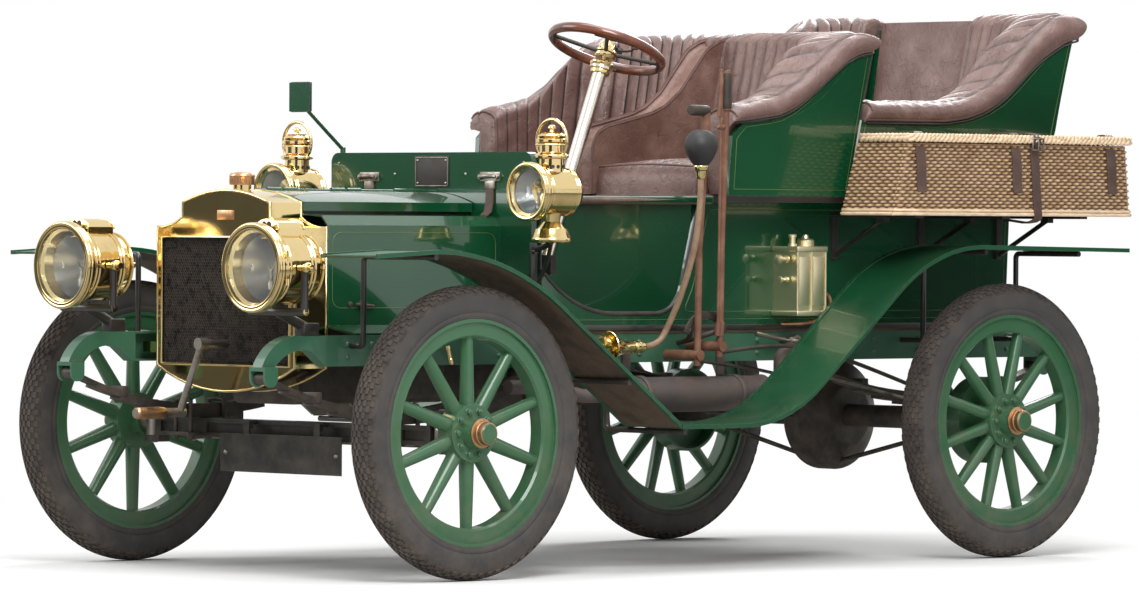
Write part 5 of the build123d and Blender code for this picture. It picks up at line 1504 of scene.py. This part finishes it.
quadrant_arc = [on_quadrant(92, angle, 541) for angle in range(20, 161, 10)]
quadrant_arc += [on_quadrant(70, angle, 541) for angle in range(160, 19, -10)]
ratchet = [eased(plate(quadrant_arc, mm(0, 6, 0)), 1)]
ratchet += [rod([on_quadrant(78, angle, 543), mm(-6, 500, 650), mm(-6, 433, 640)], 8) for angle in (30, 150)]
dress_all(ratchet, "lever_ratchet", "iron", "steel", 40)
brake_rod = rod(path((-50, 560, 612), (-300, 540, 640), (-640, 470, 600), (-1010, 520, 470)), 6)
dress(brake_rod, "brake_rod", "iron", "steel", smooth=50)
clutch_rod = rod(path((40, 560, 590), (-120, 500, 575), (-420, 330, 560), (-700, 250, 520)), 5)
dress(clutch_rod, "clutch_rod", "iron", "steel", smooth=50)

# Acetylene generator: soldered seams, lid, filler knobs, tap and feed pipe
trims = [box((-508, 436, low), (-382, 545, high), 3, 3) for low, high in ((902, 918), (715, 730))]
trims += [box((rear, 534, 745), (front, 541, 888), 2, 2) for rear, front in ((-497, -452), (-438, -393))]
trims += [wire(path((x, 539.5, 728), (x, 539.5, 906)), 3.2) for x in (-503, -445, -387)]
trims.append(wire(path((-428, 490, 950), (-402, 490, 950)), 3.6))
lid_cap = ((0, 0), (24, 0), (25, 4), (25, 18), (21, 22), (12, 24), (8, 34), (0, 35))
filler_knob = ((0, 0), (13, 0), (13, 8), (8, 10), (8, 26), (12, 28), (12, 34), (0, 36))
upper_tap = ((0, 0), (11, 0), (11, 12), (7, 14), (7, 30), (14, 32), (14, 42), (9, 45), (0, 45))
lower_tap = ((0, 0), (9, 0), (9, 8), (5, 10), (5, 24), (10, 26), (10, 34), (0, 36))
trims += [turned(lid_cap, mm(-470, 490, 917), UP, 32),
          turned(filler_knob, mm(-415, 490, 917), UP, 24),
          turned(upper_tap, mm(-384, 500, 880), FORWARD, 24),
          turned(lower_tap, mm(-384, 500, 820), FORWARD, 24)]
dress_all(trims, "generator_trim", "pale_brass", "brass", 40)
feed_pipe = rod(path((-500, 515, 790), (-535, 518, 785), (-552, 516, 745), (-530, 505, 705), (-480, 480, 692),
                     (-440, 448, 690), (-425, 434, 690)), 6)
dress(feed_pipe, "gas_pipe", "copper", "brass", smooth=60)

# Painted lines of the body
SEAT_LINE = ((-122, 1082), (-130, 1228), (-166, 1262), (-256, 1272), (-310, 1281), (-365, 1304),
             (-420, 1338), (-468, 1378), (-560, 1450), (-610, 1474), (-652, 1474), (-585, 1082),
             (-122, 1082))
TONNEAU_LINE = ((-622, 1082), (-660, 1272), (-968, 1272), (-1056, 1279), (-1126, 1291), (-1196, 1313),
                (-1256, 1342), (-1303, 1376), (-1350, 1415), (-1444, 1498), (-1494, 1530), (-1522, 1530),
                (-1470, 1262), (-1410, 1082), (-622, 1082))
BONNET_LINE = ((1206, 742), (1206, 952), (588, 952), (588, 742))
SILL_LINE = ((528, 706), (0, 706), (-700, 706), (-1380, 706))
SIDE_LINE = ((-122, 1024), (-62, 800), (-22, 728), (-1376, 728), (-1388, 1024))
BONNET_SIDE, LOWER_SIDE = 296.2, 436.2


def rounded(corners, radius, steps=6):
    """A closed outline of (a, b) points with rounded corners."""
    outline = []
    for number, corner in enumerate(corners):
        spot = Vector(corner)
        before = (Vector(corners[number - 1]) - spot).normalized()
        after = (Vector(corners[(number + 1) % len(corners)]) - spot).normalized()
        for step in range(steps + 1):
            share = step / steps
            first = spot + before * radius * (1 - share)
            second = spot + after * radius * share
            outline.append(first + (second - first) * share)
    return outline + outline[:1]


stripes = [[mm(x, flare_y(z) + 0.4, z) for x, z in outline] for outline in (SEAT_LINE, TONNEAU_LINE)]
stripes += [at_side(BONNET_SIDE, rounded(BONNET_LINE, 34)), at_side(LOWER_SIDE, SILL_LINE),
            at_side(LOWER_SIDE, rounded(SIDE_LINE, 26))]
dress_pair([wire(stripe, 1.0, 1) for stripe in stripes], "lining", "line", "green_paint", 60)

# Black edge of the step-in opening, and the strips where panels meet
opening = [(-92, 1044), (-27, 803)]
for step in range(1, 8):
    angle = math.radians(90 - 11 * step)
    opening.append((80 - 107 * math.sin(angle) ** 1.15, 722 + 81 * (1 - math.cos(angle) ** 1.3)))
opening += [(80, 722), (250, 722)]
for step in range(1, 9):
    angle = 2 * math.atan(128 / 290) * step / 8
    opening.append((250 + 392.5 * math.sin(angle), 722 + 392.5 * (1 - math.cos(angle))))
trim = [wire(at_side(431, opening), 8), wire(path((540, 431, 850), (541, 431, 1180)), 4),
        box((-1380, 434, 676), (540, 440, 691), 1)]
dress_pair(trim, "opening_trim", "black", "black_paint", 60)
edge_shape = ((-597, 1064), (-602, 1064), (-645, 1289), (-640, 1289))
front_edge = plate([mm(x, flare_y(z) - 19, z) for x, z in edge_shape], mm(0, 20, 0))
dress_pair([eased(front_edge, 1.5)], "tonneau_edge", "silver", "steel", 40)


def panel_crown(seat, front, rear, steps, low_line):
    """The painted panel's upper rim, from its lower line up behind the roll's piping."""
    rings = []
    for number in range(steps + 1):
        x = front + (rear - front) * number / steps
        low = on_line(low_line, x) - 12
        high = max(on_line(seat.edge, x) + 4, low + 4)
        heights = [low + (high - low) * step / 6 for step in range(7)]
        outer = [mm(x, flare_y(z) - 0.4, z) for z in heights]
        rings.append(outer + [mm(x, flare_y(z) - 14, z) for z in reversed(heights)])
    return skin(rings)


FRONT_PANEL_TOP = ((-673, 1500), (-636, 1500), (-512, 1385), (-440, 1335), (-350, 1298), (-255, 1282))
REAR_PANEL_TOP = ((-1545, 1569), (-1535, 1569), (-1318, 1408), (-1230, 1354), (-1140, 1318), (-1050, 1297),
                  (-968, 1290))
crowns = [panel_crown(FRONT_BACK, -270, -660, 40, FRONT_PANEL_TOP),
          panel_crown(REAR_BACK, -980, -1532, 50, REAR_PANEL_TOP)]
dress_pair(crowns, "panel_crowns", "green", "green_paint", 50)
dress_pair([box((574, 168, 1000), (1218, 174, 1030), 1)], "bonnet_felt", "black", "black_paint", 35)
under_roll = [wire([point + mm(0, 0, drop) for point in seat.edge_line()[:46]], 3.5, 1)
              for seat, drop in ((FRONT_BACK, -9), (REAR_BACK, -10))]
dress_pair(under_roll, "roll_edge", "black", "black_paint", 60)
dress(box((-41, -540, 1043), (-37, 540, 1062), 1.2), "seat_board_edge", "green", "green_paint")

# Dash: blank data plate, strap catches over the bonnet and screws
dress(box((569, -63, 1081), (572.5, 82, 1172), 0.8), "dash_blank_plate", "iron", "steel")
screws = [wire(at_length(573, rounded(((-58, 1086), (77, 1086), (77, 1167), (-58, 1167)), 5, 3)), 1.4, 1)]
for x, y, z in ((572, -50, 1094), (572, 69, 1094), (572, -50, 1159), (572, 69, 1159), (570, -392, 1152),
                (570, 392, 1152), (570, -392, 720), (570, 392, 720), (570, -150, 1120), (570, 150, 1120)):
    screws.append(turned(((0, 3.6), (2.6, 3.2), (4, 1.5), (4, 0), (0, 0)), mm(x, y, z), FORWARD, 14))
dress_all(screws, "dash_screws", "steel", "steel", 50)
catch = [box((569, 215, 1098), (576, 297, 1126), 3, 3), box((569, 236, 1076), (577, 276, 1102), 3, 3),
         rod(path((582, 222, 1112), (584, 256, 1116), (582, 290, 1112)), 6)]
catch += [turned(((0, 0), (8, 0), (9, 4), (7, 9), (0, 10)), mm(575, y, 1112), FORWARD, 16)
          for y in (222, 290)]
dress_pair(catch, "bonnet_catches", "steel", "steel", 45)
strap_shape = ((571, 1100), (576, 1100), (577, 1040), (583, 1014), (598, 1003), (598, 999), (579, 1010),
               (571, 1040))
strap = plate(at_side(240, strap_shape), mm(0, 32, 0))
dress_pair([eased(strap, 1.2)], "bonnet_straps", "strap", "leather", 40)
handle = [turned(((0, 0), (15, 0), (15, 3), (8, 5), (7, 14), (0, 15)), mm(1093, 296, 750), LEFT, 20),
          rod(path((1128, 306, 752), (1093, 311, 750), (1060, 306, 747)), 4.5),
          turned(((0, 0), (8, 0), (8, 3), (4, 5), (0, 5)), mm(1140, 296, 752), LEFT, 16)]
handle += [copied(piece, mm(-420, 0, 0)) for piece in handle]
dress_pair(handle, "bonnet_handles", "iron", "steel", 50)
lamp_bracket = [wire(path((572, 432, z), (572, 446, z)), 7, 3) for z in (800, 900)]
lamp_bracket += [box((556, 426, 780), (580, 436, 925), 2),
                 rod(path((568, 432, 905), (580, 500, 915), (602, 540, 927)), 8),
                 rod(path((568, 432, 800), (572, 480, 822), (596, 532, 920)), 6)]
dress_pair(lamp_bracket, "side_lamp_brackets", "black", "black_paint", 45)

# Headlamp forks, painted black over the lamps' brass
forks = [box((1373, 392, 667), (1430, 432, 704), 3)]
forks += [wire(path((1500, y, 872), (1500, y, 735)), 10.5, 3) for y in (297, 513)]
forks += [wire(path((1500, 292, 735), (1500, 518, 735)), 11.5, 3),
          wire(path((1500, 405, 735), (1410, 412, 692)), 14.5, 3)]
dress_pair(forks, "headlamp_forks", "black", "black_paint", 50)

# Muddy undersides of the wings, each an arc through three points after another
FRONT_UNDERSIDE = (((1474, 891), (1364, 897), (1253, 903)), ((1253, 903), (1020, 867), (793, 755)),
                   ((793, 755), (560, 586), (326, 416)))
REAR_UNDERSIDE = (((-1558, 911), (-1240, 915.5), (-920, 920)), ((-920, 920), (-734, 888), (-569, 794)),
                  ((-569, 794), (-400, 654), (-246, 526)), ((-246, 526), (-97, 441), (72, 412)),
                  ((72, 412), (190, 412), (316, 412)))


def arc_through(first, middle, last, steps=14):
    """Points of the circle through three points, or of the straight line."""
    a, b, c = Vector(first), Vector(middle), Vector(last)
    turn = 2 * ((b.x - a.x) * (c.y - a.y) - (c.x - a.x) * (b.y - a.y))
    if abs(turn) < 500:
        return [a + (c - a) * n / steps for n in range(steps + 1)]
    bb = (b - a).length_squared
    cc = (c - a).length_squared
    centre = a + Vector(((c.y - a.y) * bb - (b.y - a.y) * cc, (b.x - a.x) * cc - (c.x - a.x) * bb)) / turn
    start = math.atan2(a.y - centre.y, a.x - centre.x)
    sweep = (math.atan2(c.y - centre.y, c.x - centre.x) - start + math.pi) % FULL_TURN - math.pi
    radius = (a - centre).length
    angles = [start + sweep * n / steps for n in range(steps + 1)]
    return [centre + Vector((math.cos(angle), math.sin(angle))) * radius for angle in angles]


mud = []
for arcs in (FRONT_UNDERSIDE, REAR_UNDERSIDE):
    line = []
    for points in arcs:
        line += arc_through(*points)[(1 if line else 0):]
    outline = at_side(563, [(p.x, p.y - 4.2) for p in line] + [(p.x, p.y - 6.4) for p in reversed(line)])
    mud.append(plate(outline, mm(0, 209, 0)))
dress_pair(mud, "wing_undersides", "mud", "cast_iron", 50)

# Chassis: rivets, spring clips, silencer bands and the brake cross shaft
rivets = [turned(((0, 6), (5, 5), (8, 1.5), (8.5, -1), (0, -1)), mm(x, 431.5, z), LEFT, 14)
          for x in (1270, 1180, 700, 470, 380, 205, 150, -330, -420, -640, -820, -1010, -1200, -1400, -1540)
          for z in (608, 644)]
dress_pair(rivets, "frame_rivets", "frame_green", "green_paint", 50)
SPRING_SIDES = (380, 444)
clips = []
for axle, base, low in ((1080, 420, 484), (-1080, 443, 497)):
    for x in (axle - 62, axle + 62):
        clips += [wire(path((x, y, base - 62), (x, y, base + 52)), 6.5, 3) for y in SPRING_SIDES]
        clips.append(wire(path((x, 380, base + 50), (x, 412, base + 54), (x, 444, base + 50)), 6.5, 3))
        clips += [turned(((0, -8), (11, -8), (11, 8), (0, 8)), mm(x, y, base - 52), UP, 6)
                  for y in SPRING_SIDES]
    clips.append(box((axle - 80, 368, base - 50), (axle + 80, 456, base - 40), 2))
    clips += [box((x - 12, 384, low), (x + 12, 440, low + 30), 3) for x in (axle - 300, axle + 300)]
dress_pair(clips, "spring_clips", "iron", "steel", 40)
body_band = ((48, -11), (54, -11), (55.5, -9), (55.5, 9), (54, 11), (48, 11))
bands = [turned(body_band, mm(x, 490, 492), FORWARD) for x in (205, -175)]
end_band = ((17, -14), (25, -14), (26, -10), (26, 10), (25, 14), (17, 14))
bands += [turned(end_band, mm(x, 490, 492), FORWARD, 32) for x in (296, -316)]
dress_all(bands, "silencer_bands", "rust", "cast_iron", 40)
cross = [wire(path((-437, 425, 640), (-437, 505, 640)), 11, 3),
         wire(path((-286, 470, 664), (-437, 474, 640)), 7, 3),
         rod(path((-437, 492, 640), (-470, 494, 600), (-500, 490, 545)), 8),
         turned(((0, -14), (19, -14), (21, -8), (21, 8), (19, 14), (0, 14)), mm(-437, 478, 640), LEFT, 24),
         rod(path((-500, 490, 545), (-760, 480, 500), (-990, 540, 440)), 5)]
dress_all(cross, "brake_shaft", "steel", "steel", 45)

# Plate bolts, starting handle grip, mirror glass and the rear door's handle
plate_bolts = [turned(((0, 5), (5, 4), (8, 0), (8, -1), (0, -1)), mm(1135, y, 327), FORWARD, 16)
               for y in (-235, 235)]
dress_all(plate_bolts, "plate_bolts", "steel", "steel", 50)
grip = turned(((13, 22), (16, 26), (17.5, 50), (16, 90), (17, 120), (14.5, 128), (13, 129)),
              mm(1460, -92, 447), FORWARD, 28)
dress(grip, "starting_handle_grip", "copper", "brass", smooth=50)
glass_face = rounded(((-436, 1304), (-356, 1304), (-356, 1380), (-436, 1380)), 9, 3)[:-1]
dress(eased(plate(at_length(711.2, glass_face), mm(1.6, 0, 0)), 0.4), "mirror_glass", "mirror",
      "mirror_glass")
rim_line = rounded(((-439, 1301), (-353, 1301), (-353, 1383), (-439, 1383)), 6, 3)
dress(wire(at_length(717, rim_line), 3), "mirror_rim", "black", "black_paint", smooth=60)
latch_plate = ((0, 0), (17, 0), (18, 4), (8, 7), (7, 22), (0, 23))
latch = [turned(latch_plate, mm(-1477, 160, 1225), (-1, 0, -0.33), 24),
         rod(path((-1497, 162, 1218), (-1502, 130, 1214), (-1500, 92, 1210)), 7)]
dress_all(latch, "rear_door_handle", "brass", "brass", 50, "rear_door")

# Camera at the photograph's viewing angle
IMAGE_WIDTH = 1139
FOCAL_PIXELS = 6750
SENSOR = 36
YAW = math.radians(-133.69)
PITCH = math.radians(-0.62)
ROLL = math.radians(0.33)
STANDPOINT = mm(13649, 14273, 979)
ahead = Vector((math.cos(PITCH) * math.cos(YAW), math.cos(PITCH) * math.sin(YAW), math.sin(PITCH)))
level_right = ahead.cross(UP).normalized()
level_up = level_right.cross(ahead)
right = level_right * math.cos(ROLL) + level_up * math.sin(ROLL)
upright = level_up * math.cos(ROLL) - level_right * math.sin(ROLL)
lens = bpy.data.cameras.new("camera")
lens.sensor_width = SENSOR
lens.lens = FOCAL_PIXELS / IMAGE_WIDTH * SENSOR
lens.clip_end = 200
camera = bpy.data.objects.new("camera", lens)
bpy.context.collection.objects.link(camera)
facing = Matrix((right, upright, -ahead)).transposed().to_4x4()
camera.matrix_world = Matrix.Translation(STANDPOINT) @ facing
scene.camera = camera


# Pale floor that fades into a white studio, with soft light from above
def seen_rays(tree):
    """One for what the camera sees, straight, mirrored or through glass."""
    rays = node(tree, "ShaderNodeLightPath").outputs
    mirrored = maths(tree, "MAXIMUM", rays["Is Glossy Ray"], rays["Is Transmission Ray"])
    return maths(tree, "MAXIMUM", rays["Is Camera Ray"], mirrored)


put_down()
bpy.ops.mesh.primitive_circle_add(vertices=96, radius=40, fill_type="NGON", location=(0, 0, -0.0005))
floor = bpy.context.object
floor.name = "studio_floor"
floor_finish, floor_tree, floor_shader = finish("pale_floor", Base_Color=(0.9, 0.9, 0.9, 1), Roughness=0.9)
from_middle = node(floor_tree, "ShaderNodeVectorMath", {0: place_on(floor_tree)},
                   operation="LENGTH").outputs["Value"]
far = times(floor_tree, seen_rays(floor_tree), faded(floor_tree, from_middle, 1.9, 4.2))
glow = node(floor_tree, "ShaderNodeEmission", {"Color": (1, 1, 1, 1), "Strength": 1.0})
blend = node(floor_tree, "ShaderNodeMixShader", {0: far, 1: floor_shader.outputs[0], 2: glow.outputs[0]})
feed(floor_tree, floor_tree.nodes["Material Output"], Surface=blend.outputs[0])
floor.data.materials.append(floor_finish)

world = bpy.data.worlds.new("studio")
scene.world = world
world.use_nodes = True
sky = world.node_tree
backdrop = sky.nodes["Background"]
backdrop.inputs["Color"].default_value = (1, 1, 1, 1)
feed(sky, backdrop, Strength=faded(sky, seen_rays(sky), 0.0, 1.0, 0.42, 1.0))


def soft_light(name, place, size, power):
    """A large square lamp aimed at the middle of the car."""
    lamp = bpy.data.lights.new(name, "AREA")
    lamp.shape = "SQUARE"
    lamp.size = size
    lamp.energy = power
    holder = bpy.data.objects.new(name, lamp)
    bpy.context.collection.objects.link(holder)
    holder.location = place
    holder.rotation_euler = (Vector((0, 0, 0.7)) - Vector(place)).to_track_quat("-Z", "Y").to_euler()


soft_light("key_light", (3.5, 4.5, 5.0), 3.0, 330)
soft_light("fill_light", (5.0, -4.0, 3.5), 3.5, 150)
soft_light("back_light", (-5.0, -2.5, 4.5), 3.0, 190)
soft_light("top_light", (0.0, 0.5, 6.0), 4.0, 200)


def dark_card(name, low, high, tone=0.02):
    """A dark card that only polished surfaces reflect."""
    card = box(low, high, 1)
    card.name = name
    shade = finish(name, Base_Color=(tone, tone, tone * 0.9, 1), Roughness=0.9)[0]
    card.data.materials.append(shade)
    for kind in ("camera", "diffuse", "shadow", "transmission", "volume_scatter"):
        setattr(card, f"visible_{kind}", False)


dark_card("card_front_left", (6000, 2500, 100), (6100, 6500, 1700))
dark_card("card_left", (-12000, 6000, 0), (-4900, 6100, 2500))
dark_card("card_front_right", (6500, -11000, 0), (6600, -1500, 2300), 0.1)
dark_card("card_ground", (-12000, -12000, 1), (12000, 12000, 4), 0.3)

scene.view_settings.view_transform = "Standard"
